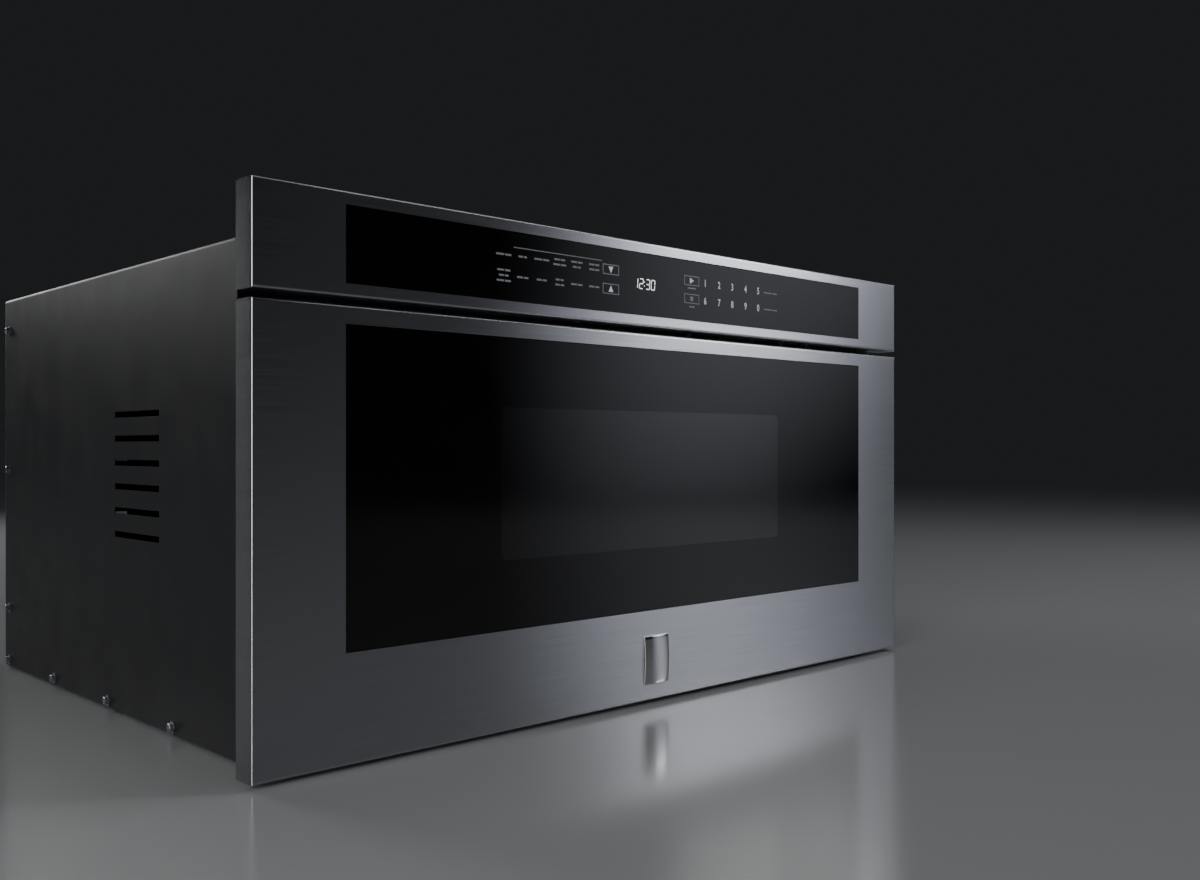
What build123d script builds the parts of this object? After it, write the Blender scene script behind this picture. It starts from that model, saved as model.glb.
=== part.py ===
"""Built-in microwave drawer, 30-inch class. Millimetres, X across the front, the front facing -Y, +Z up.

The origin is under the middle of the whole object, on the surface it stands on. A galvanised case holds the
cooking cavity, the microwave parts and the drive. The drawer is a front, a tub and a pair of telescopic
slides that run under the cavity, pushed out by a motor through a rack and pinion.
"""
from build123d import *
import math
import os

# ---- Driving dimensions: the face ----
FACE_WIDTH = 758.0
PANEL_HEIGHT = 73.0  # control panel
VENT_GAP = 6.0  # between the control panel and the drawer front
PANEL_RISE = 28.0  # the control panel's top above the case's
FACE_LIFT = 3.0  # the front's lower edge above the surface
FASCIA_SHEET = 1.2
FASCIA_RETURN = 22.0  # how deep the folded edges go
FASCIA_BEND = 2.0  # outside radius of the folds
GLASS_SIDE_MARGIN = 70.5
PANEL_GLASS_MARGIN = 9.8
WINDOW_TOP_MARGIN = 13.3
WINDOW_BOTTOM_MARGIN = 78.4
GLASS_GAP = 0.5  # around each glass in its cut-out
GLASS_RECESS = 0.3  # each glass behind the face
PANEL_GLASS_THICKNESS = 4.0
WINDOW_GLASS_THICKNESS = 5.0
VIEW_WIDTH = 343.0  # the part of the window that can be seen through
VIEW_HEIGHT = 118.0
VIEW_CORNER = 5.0
BADGE_WIDTH = 30.0
BADGE_HEIGHT = 42.0
BADGE_THICKNESS = 3.0
BADGE_BEVEL = 1.6
BADGE_RISE = 35.0  # its centre above the drawer front's lower edge

# ---- Driving dimensions: the case ----
OVERALL_DEPTH = 595.0  # badge to cord gland
STAND_OFF = 8.0  # between the fascia's folded edge and the front plate
CASE_WIDTH = 712.0
CASE_HEIGHT = 372.0
CASE_SHEET = 1.2
CASE_LIFT = 1.5  # the wrap's lower edge above the base
CASE_CORNER = 3.0
CASE_FIT = 0.3  # where one folded edge stops short of another
CASE_VENT = 5.0  # height of an air slot in the case
CASE_VENT_LENGTH = 90.0
CASE_VENT_PITCH = 20.0
CASE_VENT_Z = 150.0  # lowest air slot
PAN_WALL = 14.0  # upturned edge of the base pan, and the case's rear lip
PAN_BEAD = 2.0  # height of the base pan's stiffening beads
PAN_BEAD_WIDTH = 9.0
PASSING_GAP = 3.0  # around what passes through the front plate
FLANGE_WIDTH = 18.0
FLANGE_LEG = 20.0
FLANGE_END = 20.0  # its ends inside the case's height
FLANGE_HOLE_R = 2.75
FLANGE_HOLE_INSET = 8.0  # hole centres from the flange's outer edge
FLANGE_HOLE_HEIGHTS = (60.0, 270.0)
GLAND_REACH = 14.0
GLAND_R = 9.0
GLAND_BORE_R = 4.5
GLAND_X = 150.0
GLAND_Z = 60.0
GLAND_INSIDE = 8.0  # how far it reaches inside the back panel
GLAND_NUT = 4.0

# ---- Driving dimensions: the cooking space ----
CAVITY_WIDTH = 452.0
CAVITY_HEADROOM = 87.0  # from the inside top to the case's, for the waveguide and the stirrer's motor
CAVITY_DEPTH = 431.0
CAVITY_FLOOR = 100.0  # inside floor above the base
CAVITY_SHEET = 1.2
CAVITY_LIP = 10.0
CAVITY_CORNER = 6.0  # outside radius of the lower bends
STAND_X = 152.0  # outboard face of each rear stand
STAND_WIDTH = 22.0
STAND_LENGTH = 50.0
STAND_SHEET = 2.0
STAND_SETBACK = 10.0  # ahead of the cavity's back
LAMP_DROP = 32.0  # lamp slots' middle below the ceiling
TUB_SIDE_GAP = 4.0
TUB_FLOOR_GAP = 3.0
TUB_BACK_GAP = 12.0
TUB_HEIGHT = 112.0
TUB_SHEET = 1.5
TUB_CORNER = 12.0
TUB_RIM = 2.5
TUB_FLANGE = 12.0
TRAY_GAP = 1.5
TRAY_THICKNESS = 7.0
TRAY_DISH = 3.0
TRAY_BORDER = 9.0

# ---- Driving dimensions: the drawer front's inside ----
FRAME_SHEET = 1.5
FRAME_FIT = 0.3
SCREEN_SHEET = 0.6
SCREEN_BORDER = 12.0
LINER_SHEET = 1.5
LINER_MARGIN = 18.0  # beyond the cavity opening
CHOKE_THICKNESS = 2.2
CHOKE_OVERLAP = 11.0
CHOKE_REACH = 9.0  # beyond the liner
CHOKE_LIP = 12.0
CHOKE_CORNER = 6.0
CLOSING_GAP = 0.3
INNER_GLASS_THICKNESS = 3.0

# ---- Driving dimensions: behind the control panel ----
HOUSING_WALL = 3.0
HOUSING_BACK = 2.0
HOUSING_EAR = 26.0
HOUSING_LEDGE = 2.0  # thickness of the ledge behind the glass
HOUSING_LEDGE_WIDTH = 5.0
BOARD_SETBACK = 13.0  # the board's front ahead of the front plate
BOARD_THICKNESS = 1.6
BOARD_EDGE = 12.0  # the board's ends inside the glass's ends
DISPLAY_X = -14.5
DISPLAY_WIDTH = 46.0
DISPLAY_HEIGHT = 20.0
DISPLAY_GAP = 0.3  # between the display and the glass

# ---- Driving dimensions: slides and drive ----
TRAVEL = 380.0
RAIL_LENGTH = 440.0
RAIL_HEIGHT = 44.0
RAIL_DEPTH = 20.0  # web of the fixed member to web of the moving one
RAIL_SHEET = 1.5
RAIL_GAP = 0.4  # between one member's raceway and the next
RAIL_MID_Z = 46.0
RAIL_OUTER_X = 218.5  # outboard face of the fixed member
RAIL_FRONT_GAP = 2.8
BRACKET_SHEET = 2.0
BRACKET_FOOT = 18.0  # outboard of its sheet
BRACKET_PAD = 30.0  # length of each pad under the foot
BRACKET_PAD_ENDS = (30.0, 80.0)  # the pads from the bracket's front and back ends
ARM_SHEET = 3.0
ARM_FOOT = 30.0  # width of the left arm's foot against the drawer front
ARM_FOOT_DROP = 8.0
ARM_GUSSET = 26.0
RACK_MODULE = 2.0
RACK_WIDTH = 12.0
RACK_BACK = 7.5  # solid height above the tooth roots
PINION_TEETH = 18
PINION_WIDTH = 13.0
GEAR_MODULE = 1.25
GEAR_TEETH = 40
MOTOR_TEETH = 16
GEAR_WIDTH = 10.0
PRESSURE_ANGLE = math.radians(20.0)
BACKLASH = 0.12  # taken off the width of every tooth
SHAFT_R = 5.8  # to the corners of the hexagon
JOURNAL_R = 4.0
SHAFT_END = 1.5  # beyond the cheeks
SHAFT_Z = 34.0
SHAFT_Y_BEHIND_PLATE = 54.0
RUNNING_GAP = 0.05
KEYED_GAP = 0.02
MOTOR_R = 17.0
MOTOR_LENGTH = 58.0
GEARBOX_HALF = 19.0
GEARBOX_LENGTH = 24.0
MOTOR_SHAFT_R = 3.0
MOTOR_SHAFT_SEAT = 12.0  # how far the shaft enters the gearbox
CHEEK_MARGIN = 22.0  # cheek beyond a shaft's middle
OUTER_CHEEK_MARGIN = 15.0
CHEEK_HEIGHT = 54.0
OUTER_CHEEK_HEIGHT = 42.0
CHEEK_CORNER = 8.0

# ---- Driving dimensions: sensing ----
BOSS_X = 120.0
BOSS_Z = 50.0
BOSS_R = 4.0
BOSS_BASE_HALF = 9.0
BOSS_BASE = 3.0  # thickness of a boss's square base
SWITCH_LENGTH = 28.0
SWITCH_WIDTH = 10.0
SWITCH_HEIGHT = 16.0
PLUNGER_R = 1.6
PLUNGER_LENGTH = 8.0
PLUNGER_OUT = 2.0
PLUNGER_OVERTRAVEL = 1.2
PLUNGER_BEHIND_PLATE = 8.0

# ---- Driving dimensions: microwave parts ----
STIRRER_Y = -50.0
STIRRER_R = 68.0
STIRRER_SHEET = 1.2
STIRRER_SHAFT_R = 3.0
COVER_SIZE = 176.0
COVER_DROP = 17.0
COVER_SHEET = 1.5
COVER_FLANGE = 8.0
COVER_CORNER = 14.0
APERTURE_R = 36.0
GUIDE_WIDTH = 90.0
GUIDE_HEIGHT = 40.0
GUIDE_SHEET = 1.0
GUIDE_FLANGE = 10.0
STIRRER_MOTOR_R = 25.0
STIRRER_MOTOR_HEIGHT = 15.0
STIRRER_SHAFT_SEAT = 9.0  # how far the shaft enters its motor
MAGNETRON_X = 288.0
MAGNETRON_WIDTH = 88.0
MAGNETRON_LENGTH = 76.0
MAGNETRON_HEIGHT = 84.0
MAGNETRON_FINS = 4
MAGNETRON_YOKE = 2.5
FILTER_BOX_HEIGHT = 36.0
ANTENNA_R = 14.0
ANTENNA_HEIGHT = 28.0
FAN_X = 278.0
FAN_Z = 190.0
FAN_SIZE = 118.0
FAN_DUCT_R = 53.0
FAN_R = 50.0
FAN_DEPTH = 32.0
FAN_HUB_R = 14.0
FAN_BLADES = 5
FAN_SHAFT_R = 2.5
FAN_MOTOR_SIZE = 44.0
FAN_MOTOR_LENGTH = 26.0
FAN_SEAT = 3.0  # thickness of the plate that carries the fan motor
FAN_SHAFT_SEAT = 18.0  # how far the shaft enters its motor
DUCT_WIDTH = 160.0
DUCT_DEPTH = 110.0
DUCT_X = -135.0
DUCT_WALL = 1.5
TRANSFORMER_X = 296.0
TRANSFORMER_Y = 110.0
CORE_WIDTH = 88.0
CORE_DEPTH = 60.0
CORE_HEIGHT = 76.0  # with the foot
CORE_LIMB = 28.0  # middle limb
CORE_SIDE = 16.0  # side limbs, and the core above and below its windows
CORE_FOOT = 2.0
CORE_FOOT_REACH = 8.0  # beyond the core's sides
CORE_FOOT_LAP = 4.0  # beyond its ends
WINDING_REACH = 11.0  # beyond the core's ends
WINDING_SPACE = 0.5  # from a winding to the sides and ends of its window
WINDING_FIT = 0.2  # around the middle limb
WINDING_HEIGHT = 17.5  # the lower winding's
WINDING_APART = 3.0
CAPACITOR_X = 270.0
CAPACITOR_Y = 10.0
CAPACITOR_WIDTH = 52.0
CAPACITOR_DEPTH = 30.0
CAPACITOR_HEIGHT = 88.0
CAPACITOR_CORNER = 9.0
TERMINAL_SPACING = 20.0
TERMINAL_WIDTH = 6.0
TERMINAL_SHEET = 1.0
TERMINAL_HEIGHT = 12.0
POWER_BOARD_X = -170.0
POWER_BOARD_WIDTH = 160.0
POWER_BOARD_DEPTH = 76.0
PILLAR_INSET = 8.0
PILLAR_WIDTH = 7.0
RELAY_WIDTH = 20.0
RELAY_DEPTH = 16.0
RELAY_HEIGHT = 18.0
RELAY_PITCH = 26.0
RELAY_INSET = (14.0, 10.0)  # the first relay from the board's left and front edges
COIL_R = 20.0
COIL_HOLE_R = 9.0
COIL_HEIGHT = 14.0
COIL_PLACE = (44.0, 10.0)  # from the board's middle
FILTER_WIDTH = 40.0
FILTER_DEPTH = 26.0
FILTER_HEIGHT = 28.0
FILTER_PLACE = (-40.0, 17.0)
POWER_BOARD_BEHIND = 62.0  # its middle behind the cavity's back
POWER_BOARD_Z = 18.0
GRILLE_WIDTH = 690.0
GRILLE_THICKNESS = 6.0
GRILLE_PITCH = 46.0
GRILLE_SLOT = 38.0
GRILLE_EDGE = 3.0  # solid strip above and below the slots

# ---- Planes and levels that follow ----
FRONT_Y = -OVERALL_DEPTH / 2 + BADGE_THICKNESS
FASCIA_BACK_Y = FRONT_Y + FASCIA_RETURN
PLATE_Y = FASCIA_BACK_Y + STAND_OFF  # front of the front plate
PLATE_BACK_Y = PLATE_Y + CASE_SHEET
CASE_BACK_Y = OVERALL_DEPTH / 2 - GLAND_REACH
PANEL_INSIDE_Y = CASE_BACK_Y - CASE_SHEET  # inside of the back panel
SKIN_BACK_Y = FRONT_Y + FASCIA_SHEET
GLASS_FRONT_Y = FRONT_Y + GLASS_RECESS
WINDOW_BACK_Y = GLASS_FRONT_Y + WINDOW_GLASS_THICKNESS
FRAME_BACK_Y = WINDOW_BACK_Y + FRAME_SHEET  # behind the window
FRAME_EDGE_Y = SKIN_BACK_Y + FRAME_SHEET  # behind the steel skin
CHOKE_BACK_Y = PLATE_Y - CLOSING_GAP
LINER_BACK_Y = CHOKE_BACK_Y - CHOKE_THICKNESS
CAVITY_BACK_Y = PLATE_BACK_Y + CAVITY_DEPTH

HALF_FACE = FACE_WIDTH / 2
HALF_CASE = CASE_WIDTH / 2
HALF_CAVITY = CAVITY_WIDTH / 2
HALF_GLASS = HALF_FACE - GLASS_SIDE_MARGIN
INSIDE_CASE = HALF_CASE - CASE_SHEET

DRAWER_FRONT_HEIGHT = CASE_HEIGHT + PANEL_RISE - PANEL_HEIGHT - VENT_GAP - FACE_LIFT
DRAWER_LOW_Z = FACE_LIFT
DRAWER_TOP_Z = DRAWER_LOW_Z + DRAWER_FRONT_HEIGHT
PANEL_LOW_Z = DRAWER_TOP_Z + VENT_GAP
PANEL_TOP_Z = PANEL_LOW_Z + PANEL_HEIGHT
PANEL_MID_Z = (PANEL_LOW_Z + PANEL_TOP_Z) / 2
WINDOW_LOW_Z = DRAWER_LOW_Z + WINDOW_BOTTOM_MARGIN
WINDOW_TOP_Z = DRAWER_TOP_Z - WINDOW_TOP_MARGIN
VIEW_MID_Z = (WINDOW_LOW_Z + WINDOW_TOP_Z) / 2
HALF_PANEL_GLASS = PANEL_HEIGHT / 2 - PANEL_GLASS_MARGIN
CAVITY_HEIGHT = CASE_HEIGHT - CAVITY_HEADROOM - CAVITY_FLOOR
CAVITY_TOP = CAVITY_FLOOR + CAVITY_HEIGHT
CEILING_TOP = CAVITY_TOP + CAVITY_SHEET
CAVITY_UNDER = CAVITY_FLOOR - CAVITY_SHEET
HALF_TUB = HALF_CAVITY - TUB_SIDE_GAP
TUB_LOW_Z = CAVITY_FLOOR + TUB_FLOOR_GAP
TUB_TOP_Z = TUB_LOW_Z + TUB_HEIGHT
TUB_BACK_Y = CAVITY_BACK_Y - TUB_BACK_GAP

HALF_HOUSING = HALF_GLASS + GLASS_GAP + HOUSING_WALL
HALF_HOUSING_Z = HALF_PANEL_GLASS + GLASS_GAP + HOUSING_WALL
PANEL_GLASS_BACK_Y = GLASS_FRONT_Y + PANEL_GLASS_THICKNESS
BOARD_Y = PLATE_Y - BOARD_SETBACK
HALF_SCREEN = VIEW_WIDTH / 2 + SCREEN_BORDER
HALF_SCREEN_Z = VIEW_HEIGHT / 2 + SCREEN_BORDER

# The slide's members, as distances inboard of the fixed web and half-heights about the slide's middle.
RACEWAY = 4.5  # how far a raceway stands out towards the next member
HALF_OUTER = RAIL_HEIGHT / 2
HALF_MIDDLE = HALF_OUTER - RAIL_SHEET - RAIL_GAP - RACEWAY
HALF_INNER = HALF_MIDDLE - RAIL_SHEET - RAIL_GAP - RACEWAY
RAIL_FRONT_Y = PLATE_BACK_Y + RAIL_FRONT_GAP
RAIL_BACK_Y = RAIL_FRONT_Y + RAIL_LENGTH
ARM_X = RAIL_OUTER_X - RAIL_DEPTH  # inboard face of the moving member

PINION_R = RACK_MODULE * PINION_TEETH / 2
SHAFT_Y = PLATE_Y + SHAFT_Y_BEHIND_PLATE
MOTOR_Y = SHAFT_Y + GEAR_MODULE * (GEAR_TEETH + MOTOR_TEETH) / 2
RACK_PITCH_Z = SHAFT_Z + PINION_R
RACK_TOP_Z = RACK_PITCH_Z + 1.25 * RACK_MODULE + RACK_BACK
RACK_OUTER_X = ARM_X - ARM_SHEET - 9.5
PINION_OUTER_X = RACK_OUTER_X + (PINION_WIDTH - RACK_WIDTH) / 2
CHEEK_X = PINION_OUTER_X + 3.0  # outboard cheek of the drive bracket
GEAR_OUTER_X = PINION_OUTER_X - PINION_WIDTH - 5.5
INNER_CHEEK_X = GEAR_OUTER_X - GEAR_WIDTH - 6.0  # outer face of the inboard cheek
GUIDE_TOP = CEILING_TOP + GUIDE_HEIGHT
GRILLE_LOW_Z = DRAWER_TOP_Z - 7.0
GRILLE_TOP_Z = PANEL_MID_Z - HALF_PANEL_GLASS - 4.0
SLOT_LOW_Z = GRILLE_LOW_Z + GRILLE_EDGE
SLOT_TOP_Z = GRILLE_TOP_Z - GRILLE_EDGE
PLUNGER_FRONT_Y = PLATE_BACK_Y + PLUNGER_BEHIND_PLATE
SWITCH_FRONT_Y = PLUNGER_FRONT_Y + PLUNGER_OUT
PLUNGER_BACK_Y = PLUNGER_FRONT_Y + PLUNGER_LENGTH


# ---- Shapes that repeat ----
def slab(x0, x1, y0, y1, z0, z1):
    """A block between its six faces."""
    middle = Pos((x0 + x1) / 2, (y0 + y1) / 2, (z0 + z1) / 2)
    return middle * Box(abs(x1 - x0), abs(y1 - y0), abs(z1 - z0))


def along_x(sketch, x0, x1):
    """A sketch drawn in Y and Z, carried from x0 to x1."""
    return extrude(Plane.YZ.offset(x0) * sketch, x1 - x0)


def along_y(sketch, y0, y1):
    """A sketch drawn in X and Z, carried from y0 to y1."""
    return extrude(Plane.XZ.offset(-y1) * sketch, y1 - y0)


def along_z(sketch, z0, z1):
    """A sketch drawn in X and Y, carried from z0 to z1."""
    return extrude(Plane.XY.offset(z0) * sketch, z1 - z0)


def both_sides(solid):
    """The solid and its mirror image across the middle."""
    return solid + mirror(solid, about=Plane.YZ)


def rod_x(radius, x0, x1, y, z):
    return along_x(Pos(y, z) * Circle(radius), x0, x1)


def rod_y(radius, x, y0, y1, z):
    return along_y(Pos(x, z) * Circle(radius), y0, y1)


def slots(width, height, pitch, count):
    """A row of slots side by side about the middle, as one sketch."""
    first = -(count - 1) * pitch / 2
    return Sketch() + [Pos(first + i * pitch, 0) * Rectangle(width, height) for i in range(count)]


def grille_slots():
    """The air slots that the grille and the front plate share, as one sketch."""
    count = int(GRILLE_WIDTH / GRILLE_PITCH)
    middle = Pos(0, (SLOT_LOW_Z + SLOT_TOP_Z) / 2)
    return middle * slots(GRILLE_SLOT, SLOT_TOP_Z - SLOT_LOW_Z, GRILLE_PITCH, count)


def folded_front(low_z, top_z, opening_half_height, opening_mid_z):
    """A sheet-metal front with its four edges folded back, and the cut-out for its glass."""
    block = slab(-HALF_FACE, HALF_FACE, FRONT_Y, FASCIA_BACK_Y, low_z, top_z)
    block = fillet(block.faces().sort_by(Axis.Y)[0].edges(), FASCIA_BEND)
    inside = HALF_FACE - FASCIA_SHEET
    pocket = slab(-inside, inside, SKIN_BACK_Y, FASCIA_BACK_Y, low_z + FASCIA_SHEET, top_z - FASCIA_SHEET)
    half_opening = HALF_GLASS + GLASS_GAP
    cut = pane(half_opening, opening_half_height + GLASS_GAP, opening_mid_z, FRONT_Y, SKIN_BACK_Y)
    return block - pocket - cut


def pane(half_width, half_height, mid_z, y0, y1):
    """A flat piece across the middle, parallel to the face."""
    return slab(-half_width, half_width, y0, y1, mid_z - half_height, mid_z + half_height)


def rounded_pane(half_width, half_height, mid_z, y0, y1, corner):
    sketch = Pos(0, mid_z) * RectangleRounded(2 * half_width, 2 * half_height, corner)
    return along_y(sketch, y0, y1)


def tooth_flank(module, teeth, steps):
    """One side of a tooth from root to tip as (radius, half-angle): chords of the base circle's involute."""
    pitch_r = module * teeth / 2
    base_r = pitch_r * math.cos(PRESSURE_ANGLE)
    root_r = pitch_r - 1.25 * module
    tip_r = pitch_r + module
    start_r = max(base_r, root_r)
    half_tooth = math.pi / (2 * teeth) - BACKLASH / (2 * pitch_r)
    at_pitch = math.tan(PRESSURE_ANGLE) - PRESSURE_ANGLE
    flank = []
    for i in range(steps + 1):
        radius = start_r + (tip_r - start_r) * i / steps
        roll = math.acos(min(1.0, base_r / radius))
        flank.append((radius, half_tooth + at_pitch - (math.tan(roll) - roll)))
    if start_r > root_r:
        flank.insert(0, (root_r, flank[0][1]))
    return flank


def gear_outline(module, teeth, first_tooth, y, z, steps=1):
    """A spur gear's outline in Y and Z, with a tooth's middle at the angle first_tooth."""
    flank = tooth_flank(module, teeth, steps)
    points = []
    for i in range(teeth):
        middle = first_tooth + 2 * math.pi * i / teeth
        side = [(r, middle - a) for r, a in flank] + [(r, middle + a) for r, a in reversed(flank)]
        points += [(y + r * math.cos(a), z + r * math.sin(a)) for r, a in side]
    return make_face(Polyline(*points, close=True))


def rack_outline(y_first, teeth, pitch_z, top_z):
    """A rack's outline in Y and Z, its teeth pointing down and the first one's middle at y_first."""
    pitch = math.pi * RACK_MODULE
    half_at_pitch = pitch / 4 - BACKLASH / 2
    slope = math.tan(PRESSURE_ANGLE)
    half_tip = half_at_pitch - RACK_MODULE * slope
    half_root = half_at_pitch + 1.25 * RACK_MODULE * slope
    tip_z = pitch_z - RACK_MODULE
    root_z = pitch_z + 1.25 * RACK_MODULE
    points = [(y_first - pitch / 2, top_z), (y_first - pitch / 2, root_z)]
    for i in range(teeth):
        middle = y_first + i * pitch
        points += [(middle - half_root, root_z), (middle - half_tip, tip_z)]
        points += [(middle + half_tip, tip_z), (middle + half_root, root_z)]
    end = y_first + (teeth - 0.5) * pitch
    points += [(end, root_z), (end, top_z)]
    return make_face(Polyline(*points, close=True))


# ---- Case ----
def base_pan():
    """A tray with upturned edges, raised beads and air slots."""
    front = PLATE_BACK_Y
    back = PANEL_INSIDE_Y
    tray = slab(-INSIDE_CASE, INSIDE_CASE, front, back, 0, PAN_WALL)
    inside = INSIDE_CASE - CASE_SHEET
    tray -= slab(-inside, inside, front, back - CASE_SHEET, CASE_SHEET, PAN_WALL)
    bead_length = 2 * inside - 90
    bead = Rectangle(bead_length, PAN_BEAD_WIDTH)
    groove = Rectangle(bead_length - 2 * CASE_SHEET, PAN_BEAD_WIDTH - 2 * CASE_SHEET)
    for y in (front + 190, back - 60):
        tray += along_z(Pos(0, y) * bead, CASE_SHEET, CASE_SHEET + PAN_BEAD)
        tray -= along_z(Pos(0, y) * groove, 0, PAN_BEAD)
    for x in (-300.0, 300.0):
        tray -= along_z(Pos(x, 20) * slots(CASE_VENT, 60, 3 * CASE_VENT, 4), 0, CASE_SHEET)
    # the front plate's folded edges stand where the tray's side walls begin
    for side in (-1, 1):
        x = side * INSIDE_CASE
        fold_back = front + PAN_WALL + CASE_FIT
        tray -= slab(x - side * 2 * CASE_SHEET, x, front, fold_back, CASE_SHEET, PAN_WALL)
    return tray


def outer_case():
    """Top and sides folded from one sheet, with a lip inside its back edge and air slots in its sides."""
    front = PLATE_BACK_Y
    back = PANEL_INSIDE_Y
    wrap = slab(-HALF_CASE, HALF_CASE, front, back, CASE_LIFT, CASE_HEIGHT)
    wrap = fillet(wrap.edges().filter_by(Axis.Y).group_by(Axis.Z)[-1], CASE_CORNER)
    wrap -= slab(-INSIDE_CASE, INSIDE_CASE, front, back - CASE_SHEET, 0, CASE_HEIGHT - CASE_SHEET)
    lip = INSIDE_CASE - PAN_WALL
    wrap -= slab(-lip, lip, back - CASE_SHEET, back, 0, CASE_HEIGHT - CASE_SHEET - PAN_WALL)
    # the lip stops above the base pan's rear wall
    wrap -= slab(-INSIDE_CASE, INSIDE_CASE, back - CASE_SHEET, back, 0, PAN_WALL + CASE_FIT)
    rows = [Pos(STIRRER_Y, CASE_VENT_Z + CASE_VENT_PITCH * i) for i in range(6)]
    vents = Sketch() + [row * Rectangle(CASE_VENT_LENGTH, CASE_VENT) for row in rows]
    return wrap - along_x(vents, -HALF_CASE, -INSIDE_CASE) - along_x(vents, INSIDE_CASE, HALF_CASE)


def back_panel():
    """The rear sheet, with slots over the cooling fan's disc, a field of slots and the gland's hole."""
    panel = slab(-HALF_CASE, HALF_CASE, PANEL_INSIDE_Y, CASE_BACK_Y, CASE_LIFT, CASE_HEIGHT)
    panel = fillet(panel.edges().filter_by(Axis.Y).group_by(Axis.Z)[-1], CASE_CORNER)
    count = int(2 * FAN_R / (3 * CASE_VENT)) + 1
    rises = [3 * CASE_VENT * (i - (count - 1) / 2) for i in range(count)]
    vent = Sketch() + [
        Pos(FAN_X, FAN_Z + rise) * Rectangle(2 * math.sqrt(FAN_R**2 - rise**2), CASE_VENT) for rise in rises
    ]
    rows = [Pos(-FAN_X, CASE_VENT_Z + CASE_VENT_PITCH * i) for i in range(4)]
    vent += [row * Rectangle(CASE_VENT_LENGTH, CASE_VENT) for row in rows]
    panel -= along_y(vent, PANEL_INSIDE_Y, CASE_BACK_Y)
    return panel - rod_y(GLAND_R + KEYED_GAP, GLAND_X, PANEL_INSIDE_Y, CASE_BACK_Y, GLAND_Z)


def front_plate():
    """The plate around the cavity mouth, with its folded edges, the slides' ways and the air slots."""
    plate = slab(-HALF_CASE, HALF_CASE, PLATE_Y, PLATE_BACK_Y, 0, CASE_HEIGHT)
    fold_back = PLATE_BACK_Y + PAN_WALL
    top = CASE_HEIGHT - CASE_SHEET
    fold = slab(INSIDE_CASE - CASE_SHEET, INSIDE_CASE, PLATE_BACK_Y, fold_back, CASE_SHEET, top)
    plate += both_sides(fold)
    plate += slab(-INSIDE_CASE, INSIDE_CASE, PLATE_BACK_Y, fold_back, top - CASE_SHEET, top)
    mouth = slab(-HALF_CAVITY, HALF_CAVITY, PLATE_Y, PLATE_BACK_Y, CAVITY_FLOOR, CAVITY_TOP)
    way_low = RAIL_MID_Z - HALF_OUTER - PASSING_GAP
    way_top = max(RAIL_MID_Z + HALF_OUTER, RACK_TOP_Z + ARM_SHEET) + PASSING_GAP
    outboard = RAIL_OUTER_X + PASSING_GAP
    rack_side = RACK_OUTER_X - RACK_WIDTH - PASSING_GAP
    arm_side = ARM_X - ARM_SHEET - PASSING_GAP
    ways = slab(rack_side, outboard, PLATE_Y, PLATE_BACK_Y, way_low, way_top)
    ways += slab(-outboard, -arm_side, PLATE_Y, PLATE_BACK_Y, way_low, way_top)
    air = grille_slots()
    boss = Pos(BOSS_X, BOSS_Z) * Rectangle(2 * (BOSS_R + PASSING_GAP), 2 * (BOSS_R + PASSING_GAP))
    bosses = both_sides(along_y(boss, PLATE_Y, PLATE_BACK_Y))
    return plate - mouth - ways - along_y(air, PLATE_Y, PLATE_BACK_Y) - bosses


def mounting_flange():
    """The right-hand angle that screws the unit to its cabinet."""
    low = FLANGE_END
    top = CASE_HEIGHT - FLANGE_END
    outer = HALF_CASE + FLANGE_WIDTH
    angle = slab(HALF_CASE, outer, PLATE_Y, PLATE_BACK_Y, low, top)
    angle += slab(HALF_CASE, HALF_CASE + CASE_SHEET, PLATE_BACK_Y, PLATE_BACK_Y + FLANGE_LEG, low, top)
    x = outer - FLANGE_HOLE_INSET
    holes = Sketch() + [Pos(x, z) * Circle(FLANGE_HOLE_R) for z in FLANGE_HOLE_HEIGHTS]
    return angle - along_y(holes, PLATE_Y, PLATE_BACK_Y)


def cord_gland():
    """An eight-sided bushing in the back panel with the bore that the supply cord passes through."""
    inner = PANEL_INSIDE_Y - GLAND_INSIDE
    outer = CASE_BACK_Y + GLAND_REACH
    gland = along_y(Pos(GLAND_X, GLAND_Z) * RegularPolygon(GLAND_R, 8), inner, outer)
    nut = Pos(GLAND_X, GLAND_Z) * RegularPolygon(GLAND_R + GLAND_NUT, 6)
    gland += along_y(nut, CASE_BACK_Y, CASE_BACK_Y + GLAND_NUT)
    return gland - rod_y(GLAND_BORE_R, GLAND_X, inner, outer, GLAND_Z)


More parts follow.
